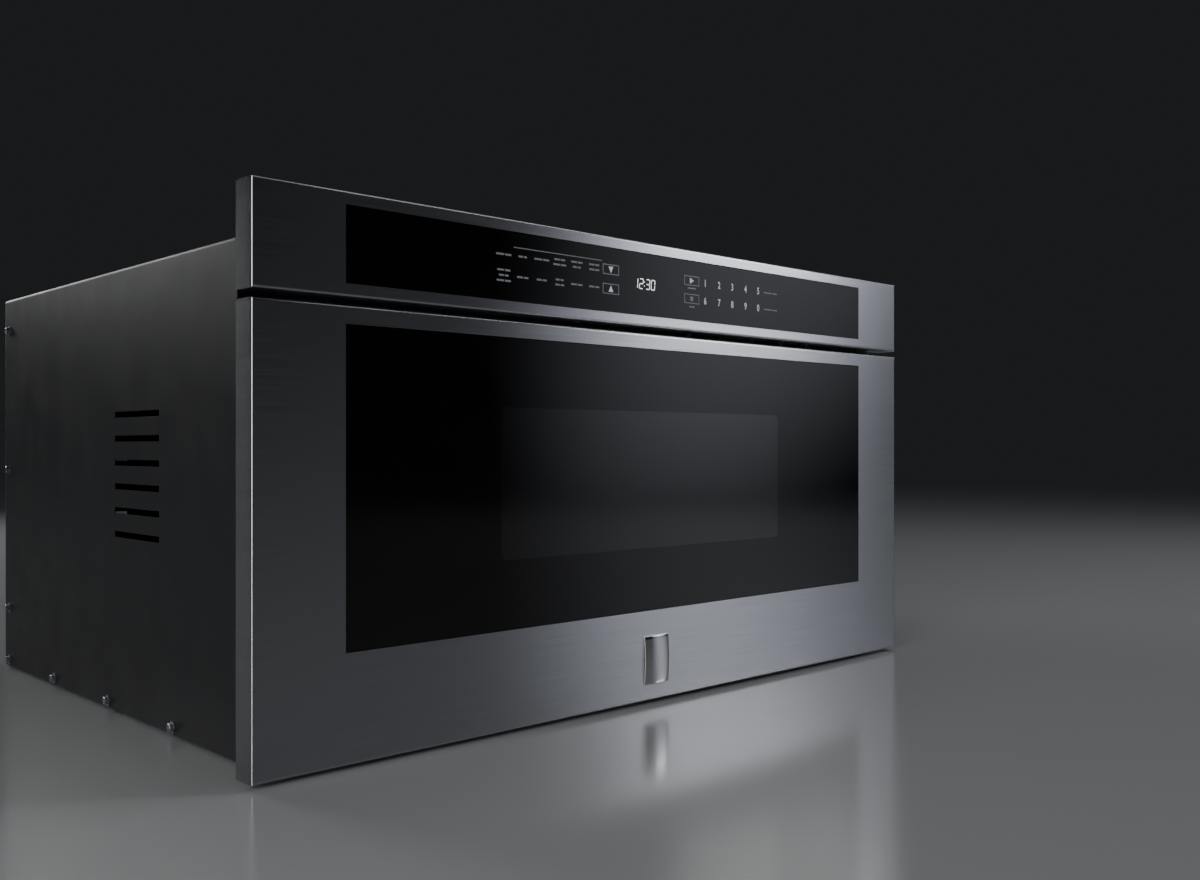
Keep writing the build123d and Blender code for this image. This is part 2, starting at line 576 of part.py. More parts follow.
# ---- Cooking cavity and what feeds it ----
def cavity_shell():
    """Floor, sides and back of the cavity, with a front lip and a seat for the ceiling."""
    outer = HALF_CAVITY + CAVITY_SHEET
    back = CAVITY_BACK_Y + CAVITY_SHEET
    shell = slab(-outer, outer, PLATE_BACK_Y, back, CAVITY_UNDER, CAVITY_TOP)
    shell = fillet(shell.edges().filter_by(Axis.Y).group_by(Axis.Z)[0], CAVITY_CORNER)
    lip = outer + CAVITY_LIP
    shell += slab(-lip, lip, PLATE_BACK_Y, PLATE_BACK_Y + CAVITY_SHEET, CAVITY_UNDER - CAVITY_LIP, CAVITY_TOP)
    shell += slab(-lip, lip, PLATE_BACK_Y, back + CAVITY_LIP, CAVITY_TOP - CAVITY_SHEET, CAVITY_TOP)
    inside = slab(-HALF_CAVITY, HALF_CAVITY, PLATE_BACK_Y, CAVITY_BACK_Y, CAVITY_FLOOR, CAVITY_TOP)
    lower_edges = inside.edges().filter_by(Axis.Y).group_by(Axis.Z)[0]
    inside = fillet(lower_edges, CAVITY_CORNER - CAVITY_SHEET)
    lamp_z = CAVITY_TOP - LAMP_DROP
    lamp_slots = Sketch() + [Pos(STIRRER_Y, lamp_z + 8 * i) * Rectangle(26, 3) for i in (-1, 0, 1)]
    return shell - inside - along_x(lamp_slots, -outer, -HALF_CAVITY)


def feed_outline():
    """The many-sided feed hole around the stirrer's shaft."""
    return Pos(0, STIRRER_Y) * RegularPolygon(APERTURE_R, 16)


def cavity_ceiling():
    """The cavity's top sheet, with the feed hole and the steam slots under the duct."""
    half = HALF_CAVITY + CAVITY_SHEET + CAVITY_LIP
    back = CAVITY_BACK_Y + CAVITY_SHEET + CAVITY_LIP
    sheet = slab(-half, half, PLATE_BACK_Y, back, CAVITY_TOP, CEILING_TOP)
    sheet -= along_z(feed_outline(), CAVITY_TOP, CEILING_TOP)
    duct_middle = Pos(DUCT_X, PLATE_BACK_Y + DUCT_DEPTH / 2)
    steam = duct_middle * slots(CASE_VENT, DUCT_DEPTH / 2, 3 * CASE_VENT, 7)
    return sheet - along_z(steam, CAVITY_TOP, CEILING_TOP)


def stirrer_cover():
    """A shallow dish under the ceiling that keeps the stirrer clean."""
    half = COVER_SIZE / 2
    low = CAVITY_TOP - COVER_DROP
    inside = half - COVER_SHEET
    rim = half + COVER_FLANGE
    dish = chamfer(Rectangle(2 * half, 2 * half).vertices(), COVER_CORNER)
    hollow = chamfer(Rectangle(2 * inside, 2 * inside).vertices(), COVER_CORNER - COVER_SHEET / 2)
    cover = along_z(dish, low, CAVITY_TOP)
    cover += along_z(Rectangle(2 * rim, 2 * rim), CAVITY_TOP - COVER_SHEET, CAVITY_TOP)
    return Pos(0, STIRRER_Y) * (cover - along_z(hollow, low + COVER_SHEET, CAVITY_TOP))


def stirrer():
    """A hub with four bent vanes on the stirrer motor's shaft."""
    middle_z = CAVITY_TOP - COVER_DROP / 2
    hub_r = 3 * STIRRER_SHAFT_R
    vane_start = 2 * STIRRER_SHAFT_R
    vane_length = STIRRER_R - vane_start
    vane = Pos(vane_start + vane_length / 2, 0, 0) * Rot(X=16) * Box(vane_length, 26, STIRRER_SHEET)
    wheel = along_z(RegularPolygon(hub_r, 12), -STIRRER_SHAFT_R, STIRRER_SHAFT_R)
    for i in range(4):
        wheel += Rot(Z=90 * i) * vane
    shaft = along_z(Circle(STIRRER_SHAFT_R), middle_z, GUIDE_TOP + STIRRER_SHAFT_SEAT)
    return Pos(0, STIRRER_Y, 0) * (Pos(0, 0, middle_z) * wheel + shaft)


def stirrer_motor():
    """A flat synchronous motor on top of the waveguide."""
    place = Pos(0, STIRRER_Y)
    ears = Rectangle(STIRRER_MOTOR_R / 2, 2 * STIRRER_MOTOR_R + 20)
    case = along_z(place * RegularPolygon(STIRRER_MOTOR_R, 24), GUIDE_TOP, GUIDE_TOP + STIRRER_MOTOR_HEIGHT)
    case += along_z(place * ears, GUIDE_TOP, GUIDE_TOP + COVER_SHEET)
    bore = place * Circle(STIRRER_SHAFT_R + RUNNING_GAP)
    return case - along_z(bore, GUIDE_TOP, GUIDE_TOP + STIRRER_SHAFT_SEAT + COVER_SHEET)


def waveguide():
    """The channel that carries the microwaves from the magnetron over the cavity to the feed hole."""
    left = -APERTURE_R - GUIDE_FLANGE
    right = MAGNETRON_X + MAGNETRON_WIDTH / 2
    front = STIRRER_Y - GUIDE_WIDTH / 2
    back = STIRRER_Y + GUIDE_WIDTH / 2
    duct = slab(left, right, front, back, CEILING_TOP, GUIDE_TOP)
    foot_end = HALF_CAVITY + CAVITY_LIP
    t = GUIDE_SHEET
    flange = GUIDE_FLANGE
    duct += slab(left - flange, foot_end, front - flange, back + flange, CEILING_TOP, CEILING_TOP + t)
    duct -= slab(left + t, right - t, front + t, back - t, CEILING_TOP + t, GUIDE_TOP - t)
    duct -= along_z(feed_outline(), CEILING_TOP, CEILING_TOP + t)
    antenna_hole = Pos(MAGNETRON_X, STIRRER_Y) * RegularPolygon(ANTENNA_R + PASSING_GAP, 8)
    duct -= along_z(antenna_hole, CEILING_TOP, CEILING_TOP + t)
    shaft_hole = Pos(0, STIRRER_Y) * RegularPolygon(2 * STIRRER_SHAFT_R, 8)
    return duct - along_z(shaft_hole, GUIDE_TOP - t, GUIDE_TOP)


def magnetron():
    """Yoke, finned anode, filter box and antenna, hung under the end of the waveguide."""
    half_w = MAGNETRON_WIDTH / 2
    half_l = MAGNETRON_LENGTH / 2
    low = -MAGNETRON_HEIGHT
    yoke = slab(-half_w, half_w, -half_l, half_l, low, 0)
    wall = MAGNETRON_YOKE
    yoke -= slab(wall - half_w, half_w - wall, -half_l, half_l, low + wall, -wall)
    anode = along_z(RegularPolygon(1.4 * ANTENNA_R, 8), low + wall, -wall)
    gap = (MAGNETRON_HEIGHT - 2 * wall) / (MAGNETRON_FINS + 1)
    fins = [low + wall + gap * (i + 1) for i in range(MAGNETRON_FINS)]
    for z in fins:
        anode += slab(wall - half_w, half_w - wall, 5 - half_l, half_l - 5, z - 0.5, z + 0.5)
    box = slab(12 - half_w, half_w - 12, 10 - half_l, half_l - 10, low - FILTER_BOX_HEIGHT, low)
    antenna = along_z(RegularPolygon(ANTENNA_R, 8), 0, ANTENNA_HEIGHT)
    tube = yoke + anode + box + antenna
    return Pos(MAGNETRON_X, STIRRER_Y, CEILING_TOP) * tube


def transformer():
    """The high-voltage transformer's laminated core on its foot, and its two windings."""
    place = Pos(TRANSFORMER_X, TRANSFORMER_Y, 0)
    low = CASE_SHEET
    half_w, half_d = CORE_WIDTH / 2, CORE_DEPTH / 2
    core_low = low + CORE_FOOT
    core_top = low + CORE_HEIGHT
    window_low, window_top = core_low + CORE_SIDE, core_top - CORE_SIDE
    core = slab(-half_w, half_w, -half_d, half_d, core_low, core_top)
    opening = slab(CORE_LIMB / 2, half_w - CORE_SIDE, -half_d, half_d, window_low, window_top)
    core -= both_sides(opening)
    foot_w, foot_d = half_w + CORE_FOOT_REACH, half_d + CORE_FOOT_LAP
    core += slab(-foot_w, foot_w, -foot_d, foot_d, low, core_low)
    coil_w = CORE_WIDTH - 2 * CORE_SIDE - 2 * WINDING_SPACE
    split = window_low + WINDING_SPACE + WINDING_HEIGHT
    windings = []
    for z0, z1 in ((split - WINDING_HEIGHT, split), (split + WINDING_APART, window_top - WINDING_SPACE)):
        ring = Rectangle(coil_w, CORE_DEPTH + 2 * WINDING_REACH)
        ring -= Rectangle(CORE_LIMB + 2 * WINDING_FIT, CORE_DEPTH + 2 * WINDING_FIT)
        windings.append((place * along_z(ring, z0, z1)).solid())
    return Compound([(place * core).solid()] + windings)


def capacitor():
    """The oval high-voltage capacitor with its two terminals."""
    top = CASE_SHEET + CAPACITOR_HEIGHT
    oval = chamfer(Rectangle(CAPACITOR_WIDTH, CAPACITOR_DEPTH).vertices(), CAPACITOR_CORNER)
    terminal = Pos(TERMINAL_SPACING / 2, 0) * Rectangle(TERMINAL_WIDTH, TERMINAL_SHEET)
    can = along_z(oval, CASE_SHEET, top) + both_sides(along_z(terminal, top, top + TERMINAL_HEIGHT))
    return Pos(CAPACITOR_X, CAPACITOR_Y, 0) * can


def power_board():
    """The power board with its relays and filter coil, on four pillars."""
    low = POWER_BOARD_Z
    top = low + BOARD_THICKNESS
    half_w, half_d = POWER_BOARD_WIDTH / 2, POWER_BOARD_DEPTH / 2
    board = slab(-half_w, half_w, -half_d, half_d, low, top)
    pillar = Rectangle(PILLAR_WIDTH, PILLAR_WIDTH)
    for px in (PILLAR_INSET - half_w, half_w - PILLAR_INSET):
        for py in (PILLAR_INSET - half_d, half_d - PILLAR_INSET):
            board += along_z(Pos(px, py) * pillar, CASE_SHEET, low)
    relay = Rectangle(RELAY_WIDTH, RELAY_DEPTH)
    relay_x = RELAY_INSET[0] + RELAY_WIDTH / 2 - half_w
    relay_y = RELAY_INSET[1] + RELAY_DEPTH / 2 - half_d
    relays = Sketch() + [Pos(relay_x + RELAY_PITCH * i, relay_y) * relay for i in range(3)]
    board += along_z(relays, top, top + RELAY_HEIGHT)
    coil = RegularPolygon(COIL_R, 12) - RegularPolygon(COIL_HOLE_R, 12)
    board += along_z(Pos(*COIL_PLACE) * coil, top, top + COIL_HEIGHT)
    board += along_z(Pos(*FILTER_PLACE) * Rectangle(FILTER_WIDTH, FILTER_DEPTH), top, top + FILTER_HEIGHT)
    return Pos(POWER_BOARD_X, CAVITY_BACK_Y + POWER_BOARD_BEHIND, 0) * board


def oven_lamp():
    """The cavity lamp beside its slots in the left wall."""
    x = -HALF_CAVITY - CAVITY_SHEET
    z = CAVITY_TOP - LAMP_DROP
    lamp = slab(x - 1.5, x, STIRRER_Y - 24, STIRRER_Y + 24, z - 18, z + 18)
    lamp -= slab(x - 1.5, x, STIRRER_Y - 13, STIRRER_Y + 13, z - 10, z + 10)
    lamp += slab(x - 40, x - 1.5, STIRRER_Y + 14, STIRRER_Y + 16, z - 14, z + 14)
    bulb = Pos(x - 22, z) * RegularPolygon(9, 12)
    return lamp + along_y(bulb, STIRRER_Y - 12, STIRRER_Y + 14)


def fan_shroud():
    """A square frame with a round duct, and three struts that carry the fan motor."""
    front = PANEL_INSIDE_Y - FAN_DEPTH
    duct = Rectangle(FAN_SIZE, FAN_SIZE) - RegularPolygon(FAN_DUCT_R, 24)
    frame = along_y(duct, front, PANEL_INSIDE_Y)
    strut = Pos(FAN_DUCT_R / 2, 0) * Rectangle(FAN_DUCT_R + 3, 5)
    seat = RegularPolygon(FAN_HUB_R, 12) + [Rot(Z=120 * i + 90) * strut for i in range(3)]
    frame += along_y(seat, front, front + FAN_SEAT)
    frame -= along_y(RegularPolygon(2 * FAN_SHAFT_R, 8), front, front + FAN_SEAT)
    return Pos(FAN_X, 0, FAN_Z) * frame


def fan_motor():
    """A shaded-pole motor: a laminated frame with its coil below."""
    back = PANEL_INSIDE_Y - FAN_DEPTH
    front = back - FAN_MOTOR_LENGTH
    half = FAN_MOTOR_SIZE / 2
    motor = slab(-half, half, front + 6, back, -half, half)
    motor += along_y(Pos(0, -half - 8) * Rectangle(30, 26), front + 2, back - 4)
    motor += along_y(Rectangle(24, 16), front, back)
    motor -= along_y(Circle(FAN_SHAFT_R + RUNNING_GAP), back - FAN_SHAFT_SEAT - 2, back)
    return Pos(FAN_X, 0, FAN_Z) * motor


def cooling_fan():
    """A hub on the fan motor's shaft with pitched blades."""
    motor_back = PANEL_INSIDE_Y - FAN_DEPTH
    front = motor_back + 2 * FAN_SEAT
    back = PANEL_INSIDE_Y - FAN_SEAT
    middle = (front + back) / 2
    wheel = along_y(RegularPolygon(FAN_HUB_R, 16), front, back)
    wheel += along_y(Circle(FAN_SHAFT_R), motor_back - FAN_SHAFT_SEAT, front)
    blade_start = FAN_HUB_R - 2
    blade_length = FAN_R - blade_start
    blade = Pos(blade_start + blade_length / 2, 0, 0) * Rot(X=42) * Box(blade_length, 24, 1.6)
    for i in range(FAN_BLADES):
        wheel += Pos(0, middle, 0) * Rot(Y=360 / FAN_BLADES * i) * blade
    return Pos(FAN_X, 0, FAN_Z) * wheel


def exhaust_duct():
    """The steam duct from the ceiling's slots to the air gap in the front."""
    left, right = DUCT_X - DUCT_WIDTH / 2, DUCT_X + DUCT_WIDTH / 2
    back = PLATE_BACK_Y + DUCT_DEPTH
    top = GRILLE_TOP_Z + GRILLE_EDGE
    wall = DUCT_WALL
    duct = slab(left, right, PLATE_BACK_Y, back, CEILING_TOP, top)
    return duct - slab(left + wall, right - wall, PLATE_BACK_Y, back - wall, CEILING_TOP, top - wall)


def vent_grille():
    """The louvre strip behind the gap, on the front plate."""
    front = PLATE_Y - GRILLE_THICKNESS
    half = GRILLE_WIDTH / 2
    strip = slab(-half, half, front, PLATE_Y, GRILLE_LOW_Z, GRILLE_TOP_Z)
    return strip - along_y(grille_slots(), front, PLATE_Y)


def cavity_stands():
    """A pair of folded stands that carry the back of the cavity."""
    y1 = CAVITY_BACK_Y - STAND_SETBACK
    y0 = y1 - STAND_LENGTH
    inboard = STAND_X - STAND_WIDTH
    t = STAND_SHEET
    stand = slab(STAND_X - t, STAND_X, y0, y1, CASE_SHEET, CAVITY_UNDER)
    stand += slab(inboard, STAND_X, y0, y1, CASE_SHEET, CASE_SHEET + t)
    stand += slab(inboard, STAND_X, y0, y1, CAVITY_UNDER - t, CAVITY_UNDER)
    return both_sides(stand)


# ---- Control panel ----
def control_fascia():
    return folded_front(PANEL_LOW_Z, PANEL_TOP_Z, HALF_PANEL_GLASS, PANEL_MID_Z)


def control_glass():
    return pane(HALF_GLASS, HALF_PANEL_GLASS, PANEL_MID_Z, GLASS_FRONT_Y, PANEL_GLASS_BACK_Y)


def control_housing():
    """The plastic box behind the glass: a seat for the glass, ears, pillars and a cable slot."""
    low, top = PANEL_MID_Z - HALF_HOUSING_Z, PANEL_MID_Z + HALF_HOUSING_Z
    box = slab(-HALF_HOUSING, HALF_HOUSING, SKIN_BACK_Y, PLATE_Y, low, top)
    ear_back = SKIN_BACK_Y + HOUSING_WALL
    ear = slab(HALF_HOUSING, HALF_HOUSING + HOUSING_EAR, SKIN_BACK_Y, ear_back, low + 6, top - 6)
    box += both_sides(ear)
    half_x, half_z = HALF_GLASS, HALF_PANEL_GLASS
    rim = HOUSING_LEDGE_WIDTH
    ledge_back = PANEL_GLASS_BACK_Y + HOUSING_LEDGE
    room_back = PLATE_Y - HOUSING_BACK
    box -= pane(half_x + GLASS_GAP, half_z + GLASS_GAP, PANEL_MID_Z, SKIN_BACK_Y, PANEL_GLASS_BACK_Y)
    box -= pane(half_x - rim, half_z - rim, PANEL_MID_Z, PANEL_GLASS_BACK_Y, ledge_back)
    box -= pane(half_x, half_z, PANEL_MID_Z, ledge_back, room_back)
    board_back = BOARD_Y + BOARD_THICKNESS
    for x in (30 - half_x, 0, half_x - 30):
        box += slab(x - 4, x + 4, board_back, room_back, PANEL_MID_Z - 1, PANEL_MID_Z + 1)
    cable = Pos(0, PANEL_MID_Z + half_z / 2) * Rectangle(40, 8)
    return box - along_y(cable, room_back, PLATE_Y)


def control_board():
    """The touch board, with a few parts on its front."""
    half_z = HALF_PANEL_GLASS - BOARD_EDGE / 3
    board = pane(HALF_GLASS - BOARD_EDGE, half_z, PANEL_MID_Z, BOARD_Y, BOARD_Y + BOARD_THICKNESS)
    for x, width in ((-120, 18), (60, 14), (150, 24)):
        board += slab(x, x + width, BOARD_Y - 2, BOARD_Y, PANEL_MID_Z - 8, PANEL_MID_Z + 6)
    return board


def display_module():
    front = PANEL_GLASS_BACK_Y + DISPLAY_GAP
    return Pos(DISPLAY_X, 0, 0) * pane(DISPLAY_WIDTH / 2, DISPLAY_HEIGHT / 2, PANEL_MID_Z, front, BOARD_Y)


# ---- Drawer front ----
def drawer_fascia():
    return folded_front(DRAWER_LOW_Z, DRAWER_TOP_Z, (WINDOW_TOP_Z - WINDOW_LOW_Z) / 2, VIEW_MID_Z)


def badge_plate():
    """A plain polished plate with a bevelled edge."""
    y0 = FRONT_Y - BADGE_THICKNESS
    plate = slab(-BADGE_WIDTH / 2, BADGE_WIDTH / 2, y0, FRONT_Y, -BADGE_HEIGHT / 2, BADGE_HEIGHT / 2)
    plate = chamfer(plate.faces().sort_by(Axis.Y)[0].edges(), BADGE_BEVEL)
    return Pos(0, 0, DRAWER_LOW_Z + BADGE_RISE) * plate


def window_glass():
    half = (WINDOW_TOP_Z - WINDOW_LOW_Z) / 2
    return pane(HALF_GLASS, half, VIEW_MID_Z, GLASS_FRONT_Y, WINDOW_BACK_Y)


def view_cut(y0, y1):
    """The rounded cut-out for the view, through the sheet between y0 and y1."""
    return rounded_pane(VIEW_WIDTH / 2, VIEW_HEIGHT / 2, VIEW_MID_Z, y0, y1, VIEW_CORNER)


def door_frame():
    """A pressed pan that fills the fascia: a recess for the glass, the view's cut-out and stiff edges."""
    half = HALF_FACE - FASCIA_SHEET - FRAME_FIT
    low = DRAWER_LOW_Z + FASCIA_SHEET + FRAME_FIT
    top = DRAWER_TOP_Z - FASCIA_SHEET - FRAME_FIT
    t = FRAME_SHEET
    recess_x = HALF_GLASS + GLASS_GAP
    recess_low, recess_top = WINDOW_LOW_Z - GLASS_GAP, WINDOW_TOP_Z + GLASS_GAP
    pan = slab(-half, half, SKIN_BACK_Y, FASCIA_BACK_Y, low, top)
    pan -= slab(-recess_x, recess_x, SKIN_BACK_Y, WINDOW_BACK_Y, recess_low, recess_top)
    pressed_x, pressed_low, pressed_top = recess_x + t, recess_low - t, recess_top + t
    behind_edge = slab(-half + t, half - t, FRAME_EDGE_Y, FASCIA_BACK_Y, low + t, top - t)
    behind_edge -= slab(-pressed_x, pressed_x, FRAME_EDGE_Y, FRAME_BACK_Y, pressed_low, pressed_top)
    return pan - behind_edge - view_cut(WINDOW_BACK_Y, FRAME_BACK_Y)


def door_screen():
    """The perforated sheet behind the view."""
    return pane(HALF_SCREEN, HALF_SCREEN_Z, VIEW_MID_Z, FRAME_BACK_Y, FRAME_BACK_Y + SCREEN_SHEET)


def door_liner():
    """The enamelled pan that closes the cavity mouth, welded to the frame."""
    half = HALF_CAVITY + LINER_MARGIN
    low, top = CAVITY_FLOOR - LINER_MARGIN, CAVITY_TOP + LINER_MARGIN
    t = LINER_SHEET
    pan = slab(-half, half, FRAME_BACK_Y, LINER_BACK_Y, low, top)
    pan = chamfer(pan.faces().sort_by(Axis.Y)[-1].edges(), t)
    pan -= slab(-half + t, half - t, FRAME_BACK_Y, LINER_BACK_Y - t, low + t, top - t)
    return pan - view_cut(LINER_BACK_Y - t, LINER_BACK_Y)


def inner_glass():
    """The pane that closes the view from the food's side, on the liner's inside."""
    back = LINER_BACK_Y - LINER_SHEET
    return pane(HALF_SCREEN, HALF_SCREEN_Z, VIEW_MID_Z, back - INNER_GLASS_THICKNESS, back)


def choke_cover():
    """The plastic ring over the choke around the liner."""
    liner_x = HALF_CAVITY + LINER_MARGIN
    liner_low, liner_top = CAVITY_FLOOR - LINER_MARGIN, CAVITY_TOP + LINER_MARGIN
    mid_z = (liner_low + liner_top) / 2
    half_z = (liner_top - liner_low) / 2
    lip_front = LINER_BACK_Y - CHOKE_LIP
    over = CHOKE_OVERLAP
    reach = CHOKE_REACH
    ring = rounded_pane(liner_x + reach, half_z + reach, mid_z, lip_front, CHOKE_BACK_Y, CHOKE_CORNER)
    ring -= pane(liner_x - over, half_z - over, mid_z, LINER_BACK_Y, CHOKE_BACK_Y)
    reach -= CHOKE_THICKNESS
    return ring - pane(liner_x + reach, half_z + reach, mid_z, lip_front, LINER_BACK_Y)


# ---- Drawer box ----
def tub_block(inset, corner, top):
    """The tub's form, pulled in by inset, with rounded rear and lower edges."""
    half = HALF_TUB - inset
    block = slab(-half, half, LINER_BACK_Y, TUB_BACK_Y - inset, TUB_LOW_Z + inset, top)
    rear = block.edges().filter_by(Axis.Z).group_by(Axis.Y)[-1]
    lower = block.faces().sort_by(Axis.Z)[0].edges().sort_by(Axis.Y)[1:]
    return fillet(rear + lower, corner)


def tub():
    """The pressed drawer box: floor, sides and back, with a rim and flanges that meet the liner."""
    box = tub_block(0, TUB_CORNER, TUB_TOP_Z)
    rim_width = 2 * (HALF_TUB + TUB_RIM)
    rim_back = TUB_BACK_Y + TUB_RIM
    rim = slab(-rim_width / 2, rim_width / 2, LINER_BACK_Y, rim_back, TUB_TOP_Z - TUB_SHEET, TUB_TOP_Z)
    box += fillet(rim.edges().filter_by(Axis.Z).group_by(Axis.Y)[-1], TUB_CORNER + TUB_RIM)
    box -= tub_block(TUB_SHEET, TUB_CORNER - TUB_SHEET, TUB_TOP_Z)
    flange_x = HALF_TUB - TUB_SHEET
    flange = slab(flange_x - TUB_FLANGE, flange_x, LINER_BACK_Y, LINER_BACK_Y + TUB_SHEET,
                  TUB_LOW_Z + TUB_CORNER, TUB_TOP_Z)
    return box + both_sides(flange)


def glass_tray():
    """The removable ceramic tray on the tub's floor, with a raised border."""
    half = HALF_TUB - TUB_CORNER - TRAY_GAP
    front = LINER_BACK_Y + TUB_SHEET + TRAY_GAP
    back = TUB_BACK_Y - TUB_CORNER - TRAY_GAP
    low = TUB_LOW_Z + TUB_SHEET
    top = low + TRAY_THICKNESS
    middle = Pos(0, (front + back) / 2)
    plate = along_z(middle * RectangleRounded(2 * half, back - front, 14), low, top)
    dish = middle * RectangleRounded(2 * (half - TRAY_BORDER), back - front - 2 * TRAY_BORDER, 8)
    return plate - along_z(dish, top - TRAY_DISH, top)


# ---- Slides ----
def channel(web_x, flange_end_x, half, lip, lip_end_x):
    """A slide member's section in X and Z: a web, two flanges and their lips. X runs inboard."""
    t = RAIL_SHEET
    step = t if flange_end_x > web_x else -t
    section = Pos((2 * web_x + step) / 2, 0) * Rectangle(t, 2 * half)
    for side in (-1, 1):
        flange_mid = Pos((web_x + flange_end_x) / 2, side * (half - t / 2))
        section += flange_mid * Rectangle(abs(flange_end_x - web_x), t)
        if lip:
            lip_mid = Pos((lip_end_x + flange_end_x) / 2, side * (half - lip / 2))
            section += lip_mid * Rectangle(abs(flange_end_x - lip_end_x), lip)
    return section


def raceway(x0, x1, half):
    """The ridge of balls on a member's flanges, with a rounded crown towards the next member."""
    ridge = Pos((x0 + x1) / 2, half + RACEWAY / 2) * Rectangle(x1 - x0, RACEWAY)
    ridge = chamfer(ridge.vertices().group_by(Axis.Y)[-1], RACEWAY / 3)
    return ridge + mirror(ridge, about=Plane.XZ)


def rail_sections():
    """Sections of the fixed, middle and moving members, X inboard from the fixed member's web."""
    t = RAIL_SHEET
    lip_x = RAIL_DEPTH - 7.5
    fixed = channel(0, lip_x + t, HALF_OUTER, t + RACEWAY - 1, lip_x)
    middle_web = 2 * t
    middle_lip = RAIL_DEPTH - 4
    middle = channel(middle_web, middle_lip + t, HALF_MIDDLE, t + RACEWAY - 1, middle_lip)
    middle += raceway(middle_web + t, lip_x - RAIL_GAP, HALF_MIDDLE)
    inner_web = 4 * t + 0.5
    inner = channel(RAIL_DEPTH, inner_web, HALF_INNER, 0, 0)
    inner += raceway(inner_web + t, middle_lip - RAIL_GAP, HALF_INNER)
    return fixed, middle, inner


def rails():
    """The three members of the right-hand slide."""
    place = Pos(RAIL_OUTER_X, 0, RAIL_MID_Z) * Rot(Z=180)
    made = []
    for section in rail_sections():
        member = extrude(Plane.XZ * section, RAIL_LENGTH / 2, both=True)
        made.append(Pos(0, (RAIL_FRONT_Y + RAIL_BACK_Y) / 2, 0) * place * member)
    return made


def rail_bracket():
    """The right-hand angle that stands on the base pan and carries the fixed member."""
    x0, x1 = RAIL_OUTER_X, RAIL_OUTER_X + BRACKET_SHEET
    angle = slab(x0, x1, RAIL_FRONT_Y, RAIL_BACK_Y, CASE_SHEET, RAIL_MID_Z + HALF_OUTER)
    foot_low = CASE_SHEET + PAN_BEAD
    angle -= slab(x0, x1, RAIL_FRONT_Y, RAIL_BACK_Y, CASE_SHEET, foot_low)
    foot = x1 + BRACKET_FOOT
    angle += slab(x0, foot, RAIL_FRONT_Y, RAIL_BACK_Y, foot_low, foot_low + BRACKET_SHEET)
    front_end, back_end = BRACKET_PAD_ENDS
    for y in (RAIL_FRONT_Y + front_end, RAIL_BACK_Y - back_end - BRACKET_PAD):
        angle += slab(x0, foot, y, y + BRACKET_PAD, CASE_SHEET, foot_low)
    return angle


def arm(carries_rack):
    """The right-hand arm from the drawer front along the moving member."""
    x0, x1 = ARM_X - ARM_SHEET, ARM_X
    low = RAIL_MID_Z - HALF_INNER
    top = RACK_TOP_Z + ARM_SHEET
    flange_back = FRAME_EDGE_Y + ARM_SHEET
    inner_x = RACK_OUTER_X - RACK_WIDTH if carries_rack else x1 - ARM_FOOT
    bar = slab(x0, x1, flange_back, RAIL_BACK_Y, low, top)
    # the foot against the drawer front reaches lower, with a gusset behind it
    foot_low = low - ARM_FOOT_DROP
    bar += slab(inner_x, x1, FRAME_EDGE_Y, flange_back, foot_low, top)
    gusset_end = flange_back + ARM_GUSSET
    gusset = Polyline((flange_back, foot_low), (flange_back, low), (gusset_end, low), close=True)
    bar += along_x(make_face(gusset), x0, x1)
    if carries_rack:
        bar += slab(inner_x, x0, flange_back, RAIL_BACK_Y, RACK_TOP_Z, top)
    return bar


# ---- Drive ----
def rack():
    """The rack under the right-hand arm's ledge. A tooth's middle stands over the drive shaft at rest."""
    pitch = math.pi * RACK_MODULE
    spare = 1
    teeth = math.ceil(TRAVEL / pitch) + 2 * spare
    outline = rack_outline(SHAFT_Y - spare * pitch, teeth, RACK_PITCH_Z, RACK_TOP_Z)
    return along_x(outline, RACK_OUTER_X - RACK_WIDTH, RACK_OUTER_X)


def drive_gear():
    """A compound gear on the hexagonal shaft: the large wheel, a hub and the pinion under the rack.

    The wheel has a tooth towards the motor, and the pinion a gap between teeth straight above the shaft.
    """
    x0, x1 = GEAR_OUTER_X - GEAR_WIDTH, GEAR_OUTER_X
    wheel = along_x(gear_outline(GEAR_MODULE, GEAR_TEETH, 0, SHAFT_Y, SHAFT_Z), x0, x1)
    first = math.pi / 2 + math.pi / PINION_TEETH
    teeth = gear_outline(RACK_MODULE, PINION_TEETH, first, SHAFT_Y, SHAFT_Z, steps=2)
    pinion = along_x(teeth, PINION_OUTER_X - PINION_WIDTH, PINION_OUTER_X)
    middle = Pos(SHAFT_Y, SHAFT_Z)
    hub = along_x(middle * RegularPolygon(2 * SHAFT_R, 12), x1, PINION_OUTER_X - PINION_WIDTH)
    bore = along_x(middle * RegularPolygon(SHAFT_R + KEYED_GAP, 6), x0, PINION_OUTER_X)
    return wheel + hub + pinion - bore


def drive_shaft():
    """Hexagonal between the cheeks, with a round journal in each."""
    reach = BRACKET_SHEET + SHAFT_END
    x0, x1 = INNER_CHEEK_X + RUNNING_GAP, CHEEK_X - RUNNING_GAP
    shaft = along_x(Pos(SHAFT_Y, SHAFT_Z) * RegularPolygon(SHAFT_R, 6), x0, x1)
    shaft += rod_x(JOURNAL_R, INNER_CHEEK_X - reach, x0, SHAFT_Y, SHAFT_Z)
    return shaft + rod_x(JOURNAL_R, x1, CHEEK_X + reach, SHAFT_Y, SHAFT_Z)


